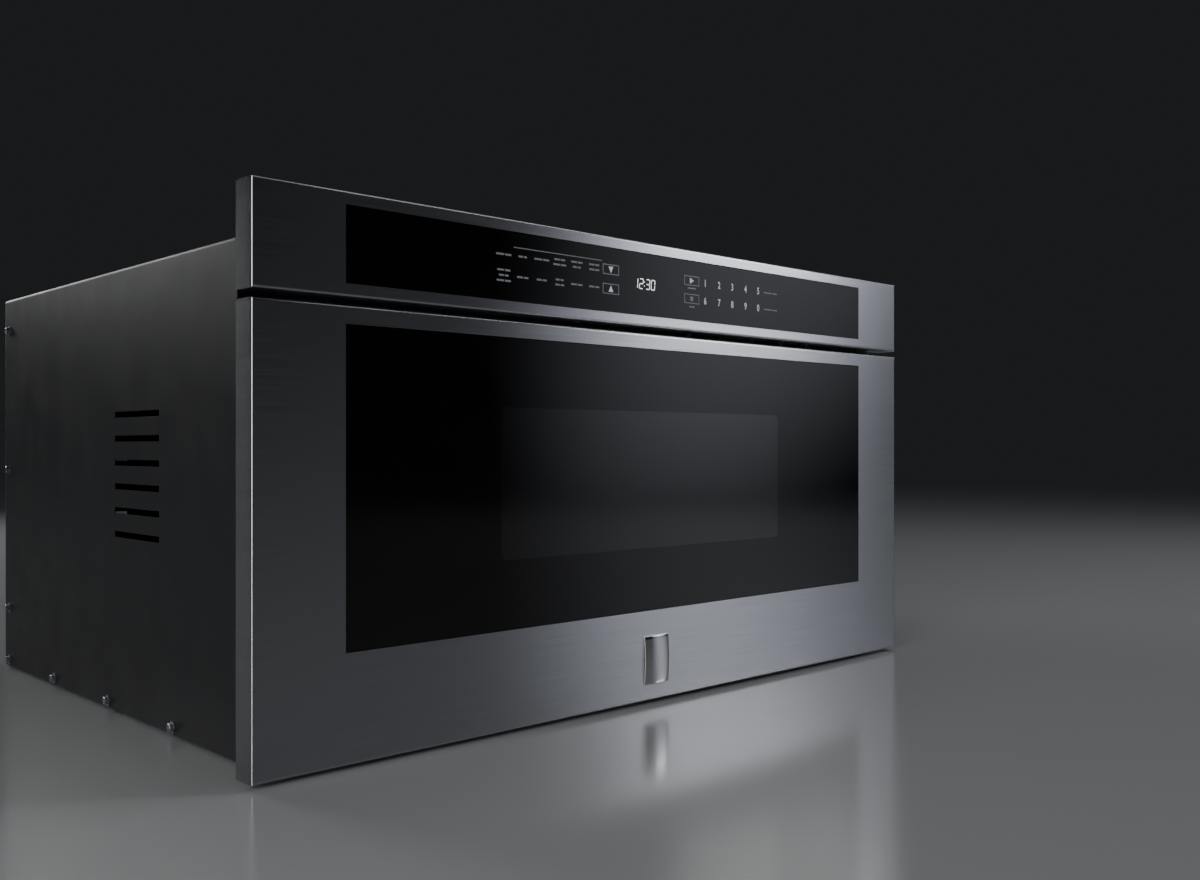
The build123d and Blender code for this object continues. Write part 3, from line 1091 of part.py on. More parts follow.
def motor_pinion():
    """The motor's pinion and the shaft that carries it, with a gap between teeth towards the gear."""
    x0, x1 = GEAR_OUTER_X - GEAR_WIDTH, GEAR_OUTER_X
    first = math.pi + math.pi / MOTOR_TEETH
    pinion = along_x(gear_outline(GEAR_MODULE, MOTOR_TEETH, first, MOTOR_Y, SHAFT_Z), x0, x1)
    seat_x = INNER_CHEEK_X - BRACKET_SHEET - MOTOR_SHAFT_SEAT
    return pinion + rod_x(MOTOR_SHAFT_R, seat_x, x0, MOTOR_Y, SHAFT_Z)


def cheek_outline(y0, y1, floor, height):
    """A cheek's outline in Y and Z, standing on the floor, with cut-off upper corners."""
    top = floor + height
    corner = CHEEK_CORNER
    points = [(y0, floor), (y1, floor), (y1, top - corner), (y1 - corner, top)]
    points += [(y0 + corner, top), (y0, top - corner)]
    return make_face(Polyline(*points, close=True))


def motor_bracket():
    """The folded bracket on the base pan that carries the drive shaft and the motor."""
    t = BRACKET_SHEET
    floor = CASE_SHEET
    margin = OUTER_CHEEK_MARGIN
    inner = cheek_outline(SHAFT_Y - CHEEK_MARGIN, MOTOR_Y + CHEEK_MARGIN, floor, CHEEK_HEIGHT)
    outer = cheek_outline(SHAFT_Y - margin, SHAFT_Y + margin, floor, OUTER_CHEEK_HEIGHT)
    bracket = along_x(inner, INNER_CHEEK_X - t, INNER_CHEEK_X) + along_x(outer, CHEEK_X, CHEEK_X + t)
    bracket += slab(INNER_CHEEK_X - t, CHEEK_X + t, SHAFT_Y - margin, SHAFT_Y + margin, floor, floor + t)
    bracket -= rod_x(JOURNAL_R + RUNNING_GAP, INNER_CHEEK_X - t, CHEEK_X + t, SHAFT_Y, SHAFT_Z)
    motor_hole = Pos(MOTOR_Y, SHAFT_Z) * RegularPolygon(2 * MOTOR_SHAFT_R, 8)
    return bracket - along_x(motor_hole, INNER_CHEEK_X - t, INNER_CHEEK_X)


def drive_motor():
    """The geared motor, its gearbox against the bracket's inboard cheek."""
    face = INNER_CHEEK_X - BRACKET_SHEET
    box_end = face - GEARBOX_LENGTH
    half = GEARBOX_HALF
    middle = Pos(MOTOR_Y, SHAFT_Z)
    motor = along_x(middle * Rectangle(2 * half, 2 * half), box_end, face)
    motor += along_x(middle * RegularPolygon(MOTOR_R, 20), box_end - MOTOR_LENGTH, box_end)
    foot_x = box_end + GEARBOX_LENGTH / 4
    foot_end = box_end + 3 * GEARBOX_LENGTH / 4
    motor += slab(foot_x, foot_end, MOTOR_Y - half / 2, MOTOR_Y + half / 2, CASE_SHEET, SHAFT_Z - half)
    return motor - rod_x(MOTOR_SHAFT_R + RUNNING_GAP, face - MOTOR_SHAFT_SEAT - 1, face, MOTOR_Y, SHAFT_Z)


# ---- Sensing ----
def sensing_bosses():
    """Pins behind the drawer front that press the interlock switches when it is shut."""
    base_back = FRAME_EDGE_Y + BOSS_BASE
    base = Pos(BOSS_X, 0, 0) * pane(BOSS_BASE_HALF, BOSS_BASE_HALF, BOSS_Z, FRAME_EDGE_Y, base_back)
    outline = Pos(BOSS_X, BOSS_Z) * RegularPolygon(BOSS_R, 16)
    return both_sides(base + along_y(outline, base_back, PLUNGER_FRONT_Y - CLOSING_GAP))


def interlock_switches():
    """Two microswitches with their terminals, each bored for its plunger."""
    back = SWITCH_FRONT_Y + SWITCH_LENGTH
    half_w, half_h = SWITCH_WIDTH / 2, SWITCH_HEIGHT / 2
    body = slab(BOSS_X - half_w, BOSS_X + half_w, SWITCH_FRONT_Y, back, BOSS_Z - half_h, BOSS_Z + half_h)
    for z in (BOSS_Z - 5, BOSS_Z + 5):
        body += slab(BOSS_X - 0.4, BOSS_X + 0.4, back, back + 7, z - 2, z + 2)
    bore_back = PLUNGER_BACK_Y + PLUNGER_OVERTRAVEL + 0.5
    return both_sides(body - rod_y(PLUNGER_R + RUNNING_GAP, BOSS_X, SWITCH_FRONT_Y, bore_back, BOSS_Z))


def switch_holders():
    """Two angles on the base pan, each with a switch on its side."""
    x0 = BOSS_X - SWITCH_WIDTH / 2 - CASE_SHEET
    y0, y1 = SWITCH_FRONT_Y + 2, SWITCH_FRONT_Y + SWITCH_LENGTH - 2
    angle = slab(x0, x0 + CASE_SHEET, y0, y1, CASE_SHEET, BOSS_Z + SWITCH_HEIGHT / 2)
    angle += slab(x0 - SWITCH_HEIGHT, x0 + CASE_SHEET, y0, y1, CASE_SHEET, 2 * CASE_SHEET)
    return both_sides(angle)


def plunger():
    """The right-hand switch's plunger."""
    return rod_y(PLUNGER_R, BOSS_X, PLUNGER_FRONT_Y, PLUNGER_BACK_Y, BOSS_Z)


def mirrored(solid):
    return mirror(solid, about=Plane.YZ)


def all_nodes():
    """Every piece of the drawer by name."""
    rail_outer, rail_middle, rail_inner = rails()
    return {
        "base_pan": base_pan(),
        "outer_case": outer_case(),
        "back_panel": back_panel(),
        "front_plate": front_plate(),
        "mounting_flanges": both_sides(mounting_flange()),
        "cord_gland": cord_gland(),
        "cavity_shell": cavity_shell(),
        "cavity_ceiling": cavity_ceiling(),
        "cavity_stands": cavity_stands(),
        "stirrer_cover": stirrer_cover(),
        "stirrer": stirrer(),
        "stirrer_motor": stirrer_motor(),
        "waveguide": waveguide(),
        "magnetron": magnetron(),
        "transformer": transformer(),
        "capacitor": capacitor(),
        "power_board": power_board(),
        "oven_lamp": oven_lamp(),
        "fan_shroud": fan_shroud(),
        "fan_motor": fan_motor(),
        "cooling_fan": cooling_fan(),
        "exhaust_duct": exhaust_duct(),
        "vent_grille": vent_grille(),
        "control_fascia": control_fascia(),
        "control_glass": control_glass(),
        "control_housing": control_housing(),
        "control_board": control_board(),
        "display_module": display_module(),
        "drawer_fascia": drawer_fascia(),
        "badge_plate": badge_plate(),
        "window_glass": window_glass(),
        "door_frame": door_frame(),
        "door_screen": door_screen(),
        "door_liner": door_liner(),
        "inner_glass": inner_glass(),
        "choke_cover": choke_cover(),
        "tub": tub(),
        "glass_tray": glass_tray(),
        "rail_outer_right": rail_outer,
        "rail_outer_left": mirrored(rail_outer),
        "rail_middle_right": rail_middle,
        "rail_middle_left": mirrored(rail_middle),
        "rail_inner_right": rail_inner,
        "rail_inner_left": mirrored(rail_inner),
        "rail_brackets": both_sides(rail_bracket()),
        "arm_right": arm(True),
        "arm_left": mirrored(arm(False)),
        "rack": rack(),
        "drive_gear": drive_gear(),
        "drive_shaft": drive_shaft(),
        "motor_pinion": motor_pinion(),
        "motor_bracket": motor_bracket(),
        "drive_motor": drive_motor(),
        "sensing_bosses": sensing_bosses(),
        "interlock_switches": interlock_switches(),
        "switch_holders": switch_holders(),
        "plunger_right": plunger(),
        "plunger_left": mirrored(plunger()),
    }


os.makedirs("parts", exist_ok=True)
for name, shape in all_nodes().items():
    export_step(shape, f"parts/{name}.step")
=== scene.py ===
"""Looks of the built-in microwave drawer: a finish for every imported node, and the small pieces that the
solids leave out. Metres, X across the front, the front facing -Y, +Z up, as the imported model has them.
"""
import math

import bmesh
import bpy
import numpy as np
from mathutils import Matrix, Vector


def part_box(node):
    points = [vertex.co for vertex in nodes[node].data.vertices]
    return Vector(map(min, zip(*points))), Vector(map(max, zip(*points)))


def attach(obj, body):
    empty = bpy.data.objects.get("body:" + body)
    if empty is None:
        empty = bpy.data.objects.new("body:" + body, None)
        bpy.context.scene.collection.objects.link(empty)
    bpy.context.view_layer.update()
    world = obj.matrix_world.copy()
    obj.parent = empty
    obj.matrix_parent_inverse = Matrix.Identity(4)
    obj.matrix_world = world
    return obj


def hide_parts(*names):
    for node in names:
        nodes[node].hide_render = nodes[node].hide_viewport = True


MM = 0.001
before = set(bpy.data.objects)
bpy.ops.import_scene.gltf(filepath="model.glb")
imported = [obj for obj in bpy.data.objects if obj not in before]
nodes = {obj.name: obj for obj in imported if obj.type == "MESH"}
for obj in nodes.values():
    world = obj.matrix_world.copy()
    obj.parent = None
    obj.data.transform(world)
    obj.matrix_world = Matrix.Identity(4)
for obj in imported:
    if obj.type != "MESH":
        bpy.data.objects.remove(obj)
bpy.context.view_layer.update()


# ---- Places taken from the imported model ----
def low(node):
    """The node's lowest corner."""
    return np.array(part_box(node)[0])


def high(node):
    """The node's highest corner."""
    return np.array(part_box(node)[1])


# ---- Meshes from arrays ----
def shell(name, points, faces, body, slot, closed=True):
    """A piece from arrays of points and of corner numbers, its doubles merged. The faces of a closed shape
    are turned outwards, and those of flat print keep the side that their corners' order gives them."""
    mesh = bpy.data.meshes.new(name)
    mesh.from_pydata(np.asarray(points).tolist(), [], [list(face) for face in np.asarray(faces).tolist()])
    work = bmesh.new()
    work.from_mesh(mesh)
    bmesh.ops.remove_doubles(work, verts=work.verts, dist=1e-6)
    if closed:
        bmesh.ops.recalc_face_normals(work, faces=work.faces)
    work.to_mesh(mesh)
    work.free()
    piece = bpy.data.objects.new(name, mesh)
    bpy.context.collection.objects.link(piece)
    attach(piece, body)
    return piece


def grid_faces(rows, columns, around):
    """Corner numbers of a grid's quads, row by row; around joins the last column to the first."""
    row = np.arange(rows - 1)[:, None]
    column = np.arange(columns if around else columns - 1)[None, :]
    here = row * columns + column
    beside = row * columns + (column + 1) % columns
    return np.stack([here, beside, beside + columns, here + columns], axis=-1).reshape(-1, 4)


def turned(profile, sides):
    """A profile of (radius, height) pairs turned about Z: x = r cos a, y = r sin a, z = h."""
    radius, height = np.array(profile, float).T
    angle = 2 * np.pi * np.arange(sides) / sides
    points = np.stack([radius[:, None] * np.cos(angle), radius[:, None] * np.sin(angle),
                       np.repeat(height[:, None], sides, axis=1)], axis=-1)
    return points.reshape(-1, 3), grid_faces(len(radius), sides, True)


def repeated(shape, places, out):
    """Copies of a shape that stands along +Z, set at each place with its +Z turned to the direction out."""
    points, faces = shape
    out = np.array(out, float)
    side = np.array([0, 0, 1.0]) if abs(out[2]) < 0.5 else np.array([1.0, 0, 0])
    across = np.cross(side, out)
    turn = np.stack([across, np.cross(out, across), out], axis=0)
    places = np.array(places, float)
    moved = (points @ turn)[None] + places[:, None]
    shift = np.arange(len(places))[:, None, None] * len(points)
    return moved.reshape(-1, 3), (faces[None] + shift).reshape(-1, faces.shape[1])


def joined(shapes):
    """Several shapes' points and faces as one, the corner numbers moved on past the points before."""
    points, faces, count = [], [], 0
    for shape_points, shape_faces in shapes:
        points.append(shape_points)
        faces.append(shape_faces + count)
        count += len(shape_points)
    return np.concatenate(points), np.concatenate(faces)


def block(corner_low, corner_high):
    """A block between two corners: each of its eight points takes its x, y and z from one or the other."""
    pick = np.array([[i & 1, i >> 1 & 1, i >> 2 & 1] for i in range(8)])
    quads = [[0, 2, 3, 1], [4, 5, 7, 6], [0, 1, 5, 4], [2, 6, 7, 3], [0, 4, 6, 2], [1, 3, 7, 5]]
    return np.where(pick, corner_high, corner_low), np.array(quads)


# ---- Materials: every pattern's size is in millimetres ----
def linear(code):
    """An sRGB hex value as linear red, green, blue and alpha."""
    part = np.array([int(code[i:i + 2], 16) for i in (1, 3, 5)]) / 255
    value = np.where(part <= 0.04045, part / 12.92, ((part + 0.055) / 1.055) ** 2.4)
    return (*value.tolist(), 1.0)


def put(tree, kind, feeds=None, **settings):
    """Adds a node with its settings. Feeds give each input a value or the output that it is linked to."""
    made = tree.nodes.new(kind)
    for key, value in settings.items():
        setattr(made, key, value)
    for socket, value in (feeds or {}).items():
        if isinstance(value, bpy.types.NodeSocket):
            tree.links.new(value, made.inputs[socket])
        else:
            made.inputs[socket].default_value = value
    return made


def finish_of(name, colour, roughness, metallic=0.0, **sockets):
    """A material with its shader's own values set, and its tree and shader for the patterns."""
    material = bpy.data.materials.new(name)
    material.use_nodes = True
    tree = material.node_tree
    shader = tree.nodes["Principled BSDF"]
    shader.inputs["Base Color"].default_value = linear(colour)
    shader.inputs["Roughness"].default_value = roughness
    shader.inputs["Metallic"].default_value = metallic
    for socket, value in sockets.items():
        shader.inputs[socket.replace("_", " ")].default_value = value
    return material, tree, shader


def counted(tree, sizes):
    """Object coordinates divided by one size, or by sizes along X, Y and Z: one step is one feature."""
    place = put(tree, "ShaderNodeTexCoord").outputs["Object"]
    scale = np.broadcast_to(1 / (np.array(sizes) * MM), 3).tolist()
    return put(tree, "ShaderNodeMapping", {"Vector": place, "Scale": scale}).outputs["Vector"]


def cloudy(tree, sizes, detail=2.0):
    """A cloudy pattern with features of one size, or of their own size along X, Y and Z. Most of it lies
    between 0.3 and 0.7, which is the span that the finishes below start from."""
    place = counted(tree, sizes)
    return put(tree, "ShaderNodeTexNoise", {"Vector": place, "Scale": 1.0, "Detail": detail}).outputs["Fac"]


def follow(tree, shader, socket, pattern, first, last, span=(0.3, 0.7)):
    """A value of the shader that goes from first to last while a pattern goes through its span."""
    feeds = {"Value": pattern, "From Min": span[0], "From Max": span[1], "To Min": first, "To Max": last}
    tree.links.new(put(tree, "ShaderNodeMapRange", feeds).outputs["Result"], shader.inputs[socket])


def two_tone(tree, shader, pattern, first, last, span=(0.3, 0.7)):
    """The base colour, going from the first hex colour to the last while a pattern goes through its span."""
    part = put(tree, "ShaderNodeMapRange", {"Value": pattern, "From Min": span[0], "From Max": span[1]})
    mix = put(tree, "ShaderNodeMix", {0: part.outputs["Result"], 6: linear(first), 7: linear(last)},
              data_type="RGBA")
    tree.links.new(mix.outputs[2], shader.inputs["Base Color"])


def raised(tree, shader, pattern, depth):
    """A relief from a pattern, its full height given in millimetres."""
    bump = put(tree, "ShaderNodeBump", {"Height": pattern, "Distance": depth * MM, "Strength": 1.0})
    tree.links.new(bump.outputs["Normal"], shader.inputs["Normal"])


def brushed_stainless():
    """Stainless steel sheet brushed along X: hair-fine lines 30 to 90 mm long, drawn 0.3 mm apart so that
    they show. They spread each reflection up and down, so the eye sees soft upright bands of light."""
    material, tree, shader = finish_of("brushed_stainless_sheet", "#B4B6BB", 0.24, 1.0, Anisotropic=0.95)
    lines = cloudy(tree, (83, 0.303, 0.303), 3.0)
    end_lines = cloudy(tree, (0.303, 62.5, 0.303), 3.0)
    facing = put(tree, "ShaderNodeSeparateXYZ", {0: put(tree, "ShaderNodeNewGeometry").outputs["Normal"]})
    sideways = put(tree, "ShaderNodeMath", {0: facing.outputs["X"]}, operation="ABSOLUTE").outputs[0]
    grain = put(tree, "ShaderNodeMix", {0: sideways, 2: lines, 3: end_lines}).outputs[0]
    two_tone(tree, shader, grain, "#ABADB2", "#BDBFC4")
    follow(tree, shader, "Roughness", grain, 0.22, 0.26)
    raised(tree, shader, grain, 0.0005)
    level = put(tree, "ShaderNodeMath", {0: facing.outputs["Z"]}, operation="ABSOLUTE").outputs[0]
    spread = put(tree, "ShaderNodeMix", {0: level, 4: (0, 0, 1), 5: (0, 1, 0)}, data_type="VECTOR")
    tree.links.new(spread.outputs[1], shader.inputs["Tangent"])
    return material


def polished_chrome():
    """Chromium plate polished to a mirror, with the faint haze that handling leaves."""
    material, tree, shader = finish_of("polished_chrome_plate", "#D6D7D9", 0.06, 1.0)
    follow(tree, shader, "Roughness", cloudy(tree, 11.1), 0.04, 0.1)
    return material


def spangled_zinc():
    """Hot-dip galvanised sheet: zinc crystals 9 mm across that differ a little in tone and gloss."""
    material, tree, shader = finish_of("spangled_galvanised_sheet", "#A9ADB0", 0.4, 1.0)
    cells = put(tree, "ShaderNodeTexVoronoi", {"Vector": counted(tree, 9.1), "Scale": 1.0})
    tone = put(tree, "ShaderNodeSeparateXYZ", {0: cells.outputs["Color"]}).outputs["X"]
    two_tone(tree, shader, tone, "#8B9094", "#A9ADB0", span=(0, 1))
    follow(tree, shader, "Roughness", tone, 0.32, 0.5, span=(0, 1))
    raised(tree, shader, cloudy(tree, 16.7), 0.03)
    return material


def powder_coat(name, colour, gloss):
    """Baked powder paint: an orange peel 1.2 mm across on an even colour, which breaks up the highlight."""
    material, tree, shader = finish_of(name, colour, gloss)
    raised(tree, shader, cloudy(tree, 1.25), 0.02)
    follow(tree, shader, "Roughness", cloudy(tree, 40), gloss - 0.04, gloss + 0.05)
    return material


def cavity_enamel():
    """Grey vitreous enamel on steel, glossy and a little wavy, flecked with specks of 1.5 mm."""
    material, tree, shader = finish_of("speckled_grey_enamel", "#6E7072", 0.22, Coat_Weight=0.3)
    two_tone(tree, shader, cloudy(tree, 1.54), "#6B6D70", "#9A9C9E", span=(0.62, 0.66))
    raised(tree, shader, cloudy(tree, 14.3), 0.04)
    return material


def black_glass():
    """Toughened glass printed black behind: almost no colour of its own, with sharp, dim reflections."""
    material, tree, shader = finish_of("black_printed_glass", "#060607", 0.08, IOR=1.45)
    follow(tree, shader, "Roughness", cloudy(tree, 50), 0.06, 0.1)
    return material


def window_tint(view_width, view_height, view_middle, corner):
    """Toughened glass printed black round a tinted view. Inside the view a little light passes, and the
    second pane's reflection adds to the first's, so the eye sees a slightly lighter rectangle with rounded
    corners: where the length of max(|x| - half + corner, 0), taken along X and Z, is less than corner. The
    base colour inside the view is also painted lighter, a painted highlight for the screen seen through the
    glass and the second pane's reflection."""
    material, tree, shader = finish_of("dark_tinted_glass", "#060607", 0.08, IOR=1.57, Coat_Roughness=0.1)
    follow(tree, shader, "Roughness", cloudy(tree, 50), 0.06, 0.1)
    inner = (view_width / 2 - corner, 0, view_height / 2 - corner)
    place = put(tree, "ShaderNodeTexCoord").outputs["Object"]
    flat = put(tree, "ShaderNodeVectorMath", {0: place, 1: (1, 0, 1), 2: (0, 0, -view_middle)},
               operation="MULTIPLY_ADD").outputs[0]
    folded = put(tree, "ShaderNodeVectorMath", {0: flat}, operation="ABSOLUTE").outputs[0]
    past = put(tree, "ShaderNodeVectorMath", {0: folded, 1: inner}, operation="SUBTRACT").outputs[0]
    outside = put(tree, "ShaderNodeVectorMath", {0: past, 1: (0, 0, 0)}, operation="MAXIMUM").outputs[0]
    off = put(tree, "ShaderNodeVectorMath", {0: outside}, operation="LENGTH").outputs["Value"]
    print_edge = (corner + 0.5 * MM, corner - 0.3 * MM)
    # painted highlight: the base colour is lighter inside the view, standing in for the screen seen through
    # and the second pane's reflection; the black print round it is the glass's own colour
    two_tone(tree, shader, off, "#050506", "#0C0C0D", span=print_edge)
    follow(tree, shader, "Coat Weight", off, 0.0, 0.7, span=print_edge)
    follow(tree, shader, "Alpha", off, 1.0, 0.86, span=print_edge)
    return material


def clear_glass():
    """Clear heat-resistant glass, slightly green at its edges, with the soft haze that cleaning leaves."""
    material, tree, shader = finish_of("clear_heat_glass", "#DDE6E2", 0.03, IOR=1.47, Alpha=0.25)
    follow(tree, shader, "Roughness", cloudy(tree, 50), 0.02, 0.05)
    return material


def smoked_window():
    """Smoked acrylic over the display: nearly black and glossy, with the faint ripple of its moulding."""
    material, tree, shader = finish_of("smoked_display_acrylic", "#08090A", 0.2, IOR=1.49)
    follow(tree, shader, "Roughness", cloudy(tree, 16.7), 0.16, 0.24)
    return material


def perforated_screen():
    """Grey painted sheet steel with holes of 1.3 mm in slanted rows 2.2 mm apart, which read as a fine dark
    mesh. The holes are not cut: they are painted near-black, a painted shade for the dim cavity seen through
    them.
    A point is in a hole when it is less than 0.3 of a step from the middle of its cell."""
    material, tree, shader = finish_of("perforated_steel_screen", "#8C8E90", 0.45, 0.3)
    steps = 1 / (2.2 * MM)
    slanted = put(tree, "ShaderNodeMapping", {"Vector": put(tree, "ShaderNodeTexCoord").outputs["Object"],
                                              "Rotation": (0, math.radians(45), 0),
                                              "Scale": (steps, 0, steps)}).outputs["Vector"]
    cell = put(tree, "ShaderNodeVectorMath", {0: slanted}, operation="FRACTION").outputs[0]
    off = put(tree, "ShaderNodeVectorMath", {0: cell, 1: (0.5, 0, 0.5)}, operation="DISTANCE")
    # painted shade: the holes are coloured near-black for the dim cavity that would show through them
    two_tone(tree, shader, off.outputs["Value"], "#0B0B0C", "#8C8E90", span=(0.28, 0.32))
    return material


def moulded_plastic(name, colour, roughness):
    """Moulded plastic with a fine spark-eroded grain of 0.6 mm."""
    material, tree, shader = finish_of(name, colour, roughness)
    grain = cloudy(tree, 0.625)
    raised(tree, shader, grain, 0.02)
    follow(tree, shader, "Roughness", grain, roughness - 0.05, roughness + 0.05)
    return material


def zinc_plate():
    """Bright zinc plate on rolled steel: pale, slightly blue, with faint drawing lines along Y."""
    material, tree, shader = finish_of("bright_zinc_plate", "#B4B8BC", 0.32, 1.0)
    lines = cloudy(tree, (1.11, 100, 1.11))
    two_tone(tree, shader, lines, "#A3A8AE", "#C1C4C6")
    follow(tree, shader, "Roughness", lines, 0.26, 0.4)
    return material


def turned_steel():
    """Plain machined steel with fine rings left by the tool, 0.4 mm apart along X."""
    material, tree, shader = finish_of("machined_steel", "#8E8F92", 0.34, 1.0)
    rings = cloudy(tree, (0.4, 250, 250))
    raised(tree, shader, rings, 0.008)
    follow(tree, shader, "Roughness", rings, 0.28, 0.42)
    return material


def laminated_core():
    """A stack of varnished steel sheets 0.5 mm thick, its edges showing as fine level lines."""
    material, tree, shader = finish_of("varnished_laminations", "#5B4A3C", 0.5, 0.6)
    sheets = cloudy(tree, (333, 0.5, 333))
    two_tone(tree, shader, sheets, "#3E3128", "#7A6552")
    raised(tree, shader, sheets, 0.05)
    return material


def rolled_aluminium():
    """Plain rolled aluminium with soft lines 1 mm apart around it."""
    material, tree, shader = finish_of("rolled_aluminium", "#C9CACC", 0.38, 1.0)
    follow(tree, shader, "Roughness", cloudy(tree, (125, 125, 1)), 0.3, 0.46)
    return material


def green_board():
    """A printed board under green lacquer, with lighter tracks about 1 mm wide round fields of 8 mm."""
    material, tree, shader = finish_of("green_circuit_board", "#14502C", 0.35, Coat_Weight=0.2)
    fields = put(tree, "ShaderNodeTexVoronoi", {"Vector": counted(tree, 8.33), "Scale": 1.0},
                 feature="DISTANCE_TO_EDGE")
    two_tone(tree, shader, fields.outputs["Distance"], "#2C7A45", "#12462A", span=(0.05, 0.09))
    return material


def tray_ceramic():
    """Glazed glass ceramic: warm white, glossy, with the glaze's soft waviness."""
    material, tree, shader = finish_of("glazed_white_ceramic", "#E4E2DB", 0.16, Coat_Weight=0.4)
    raised(tree, shader, cloudy(tree, 22.2), 0.05)
    return material


def stirrer_cover_sheet():
    """Heat-resistant pale sheet over the stirrer, matt with a cloudy grain of 5 mm."""
    material, tree, shader = finish_of("pale_microwave_sheet", "#C9C2AF", 0.5)
    two_tone(tree, shader, cloudy(tree, 5), "#BDB5A0", "#D3CCBB")
    return material


def lit_print(name, colour, strength):
    """White screen print lit from behind: a faint even light of its own, with the ink's grain of 0.5 mm."""
    material, tree, shader = finish_of(name, colour, 0.4)
    shader.inputs["Emission Color"].default_value = linear(colour)
    shader.inputs["Emission Strength"].default_value = strength
    follow(tree, shader, "Roughness", cloudy(tree, 0.5), 0.35, 0.45)
    return material


VIEW_WIDTH, VIEW_HEIGHT, VIEW_CORNER = 343 * MM, 118 * MM, 5 * MM  # the tinted view in the window glass
WINDOW_MIDDLE = (low("window_glass")[2] + high("window_glass")[2]) / 2

STAINLESS = brushed_stainless()
CHROME = polished_chrome()
GALVANISED = spangled_zinc()
CHARCOAL = powder_coat("charcoal_powder_coat", "#2A2B2D", 0.42)
BLACK_PAINT = powder_coat("black_painted_steel", "#0C0C0D", 0.38)
ENAMEL = cavity_enamel()
BLACK_GLASS = black_glass()
TINTED = window_tint(VIEW_WIDTH, VIEW_HEIGHT, WINDOW_MIDDLE, VIEW_CORNER)
CLEAR = clear_glass()
SCREEN = perforated_screen()
BLACK_PLASTIC = moulded_plastic("black_moulded_plastic", "#131314", 0.5)
GREY_PLASTIC = moulded_plastic("grey_moulded_plastic", "#5A5C5E", 0.5)
ACETAL = moulded_plastic("natural_acetal", "#DAD8CF", 0.4)  # milky and slightly waxy
ZINC = zinc_plate()
STEEL = turned_steel()
LAMINATIONS = laminated_core()
ALUMINIUM = rolled_aluminium()
BOARD = green_board()
CERAMIC = tray_ceramic()
COVER = stirrer_cover_sheet()
LABEL_PRINT = lit_print("backlit_label_print", "#9599A0", 0.06)
KEY_PRINT = lit_print("backlit_key_print", "#DDE1E6", 0.34)
CLOCK_LIGHT = lit_print("lit_white_segments", "#F2F5F8", 1.5)
SMOKED = smoked_window()

FINISHES = {
    "base_pan": GALVANISED, "outer_case": CHARCOAL, "back_panel": GALVANISED, "front_plate": BLACK_PAINT,
    "mounting_flanges": BLACK_PAINT, "cord_gland": BLACK_PLASTIC, "cavity_shell": ENAMEL,
    "cavity_ceiling": ENAMEL, "cavity_stands": GALVANISED, "stirrer_cover": COVER, "stirrer": ALUMINIUM,
    "stirrer_motor": ZINC, "waveguide": GALVANISED, "magnetron": ZINC, "transformer": LAMINATIONS,
    "capacitor": ALUMINIUM, "power_board": BOARD, "oven_lamp": ZINC, "fan_shroud": BLACK_PLASTIC,
    "fan_motor": ZINC, "cooling_fan": GREY_PLASTIC, "exhaust_duct": GALVANISED, "vent_grille": BLACK_PLASTIC,
    "control_fascia": STAINLESS, "control_glass": BLACK_GLASS, "control_housing": BLACK_PLASTIC,
    "control_board": BOARD, "display_module": SMOKED, "drawer_fascia": STAINLESS, "badge_plate": CHROME,
    "window_glass": TINTED, "door_frame": BLACK_PAINT, "door_screen": SCREEN, "door_liner": ENAMEL,
    "inner_glass": CLEAR, "choke_cover": BLACK_PLASTIC, "tub": ENAMEL, "glass_tray": CERAMIC,
    "rail_outer_right": ZINC, "rail_outer_left": ZINC, "rail_middle_right": ZINC, "rail_middle_left": ZINC,
    "rail_inner_right": ZINC, "rail_inner_left": ZINC, "rail_brackets": GALVANISED, "arm_right": GALVANISED,
    "arm_left": GALVANISED, "rack": ACETAL, "drive_gear": ACETAL, "drive_shaft": STEEL,
    "motor_pinion": STEEL, "motor_bracket": GALVANISED, "drive_motor": ZINC, "sensing_bosses": GREY_PLASTIC,
    "interlock_switches": BLACK_PLASTIC, "switch_holders": GALVANISED, "plunger_right": GREY_PLASTIC,
    "plunger_left": GREY_PLASTIC,
}
for node_name, node_object in nodes.items():
    node_object.data.materials.clear()
    node_object.data.materials.append(FINISHES[node_name])

# ---- Control panel's print ----
# Places on the glass are in millimetres, across from its middle and up from its lower edge.
PRINT_Y = low("control_glass")[1] - 0.04 * MM  # just ahead of the glass
PRINT_FOOT = low("control_glass")[2]

LABEL_COLUMNS = (-169.6, -150.6, -131.0, -111.9, -93.3, -73.7)  # middles of the bars that label the keys
LABEL_ROWS = {  # each row's height, and the widths of each label's lines
    35.2: ((15,), (8.5,), (15.5,), (11.5, 14), (12.5, 8.6), (11.5, 11.5)),
    19.0: ((13, 9.6, 14), (11.5,), (10.5,), (8.5, 9.5), (12.5,), (11.5,)),
}
LINE_STEP = 4.1  # between the lines of one label
LABEL_THICKNESS = 1.5
SPLIT, SPLIT_GAP = 0.56, 0.9  # each line is two bars: the first one's share of the width, and the gap between
HEADING_RULE = (-159.7, -64.6, 41.4, 42.1)  # left, right, foot and top, as in every bar below
SIDE_ROWS = (34.4, 18.4)
SIDE_BARS = ((150.1, 162.0), (163.0, 170.5))  # left and right, beside the numbers
SIDE_THICKNESS = 1.2
CAPTIONS = [(41.5, 52.5, 28.2, 29.5), (43.5, 50.5, 11.6, 12.9)]  # under the start and stop keys
KEY_BOXES = ((-63.9, -44.9, 30.9, 39.6), (-63.9, -44.9, 14.6, 23.4), (36.9, 56.9, 31.3, 40.1),
             (36.9, 56.9, 15.1, 23.8))
BOX_LINE = 0.8
STOP_SQUARE = (44.9, 48.9, 17.4, 21.5)
ARROWS = (((-54.4, 35.2), (0, -1)), ((-54.4, 19.0), (0, 1)), ((46.9, 35.7), (1, 0)))  # middle and way
ARROW_SIZE = 5.0
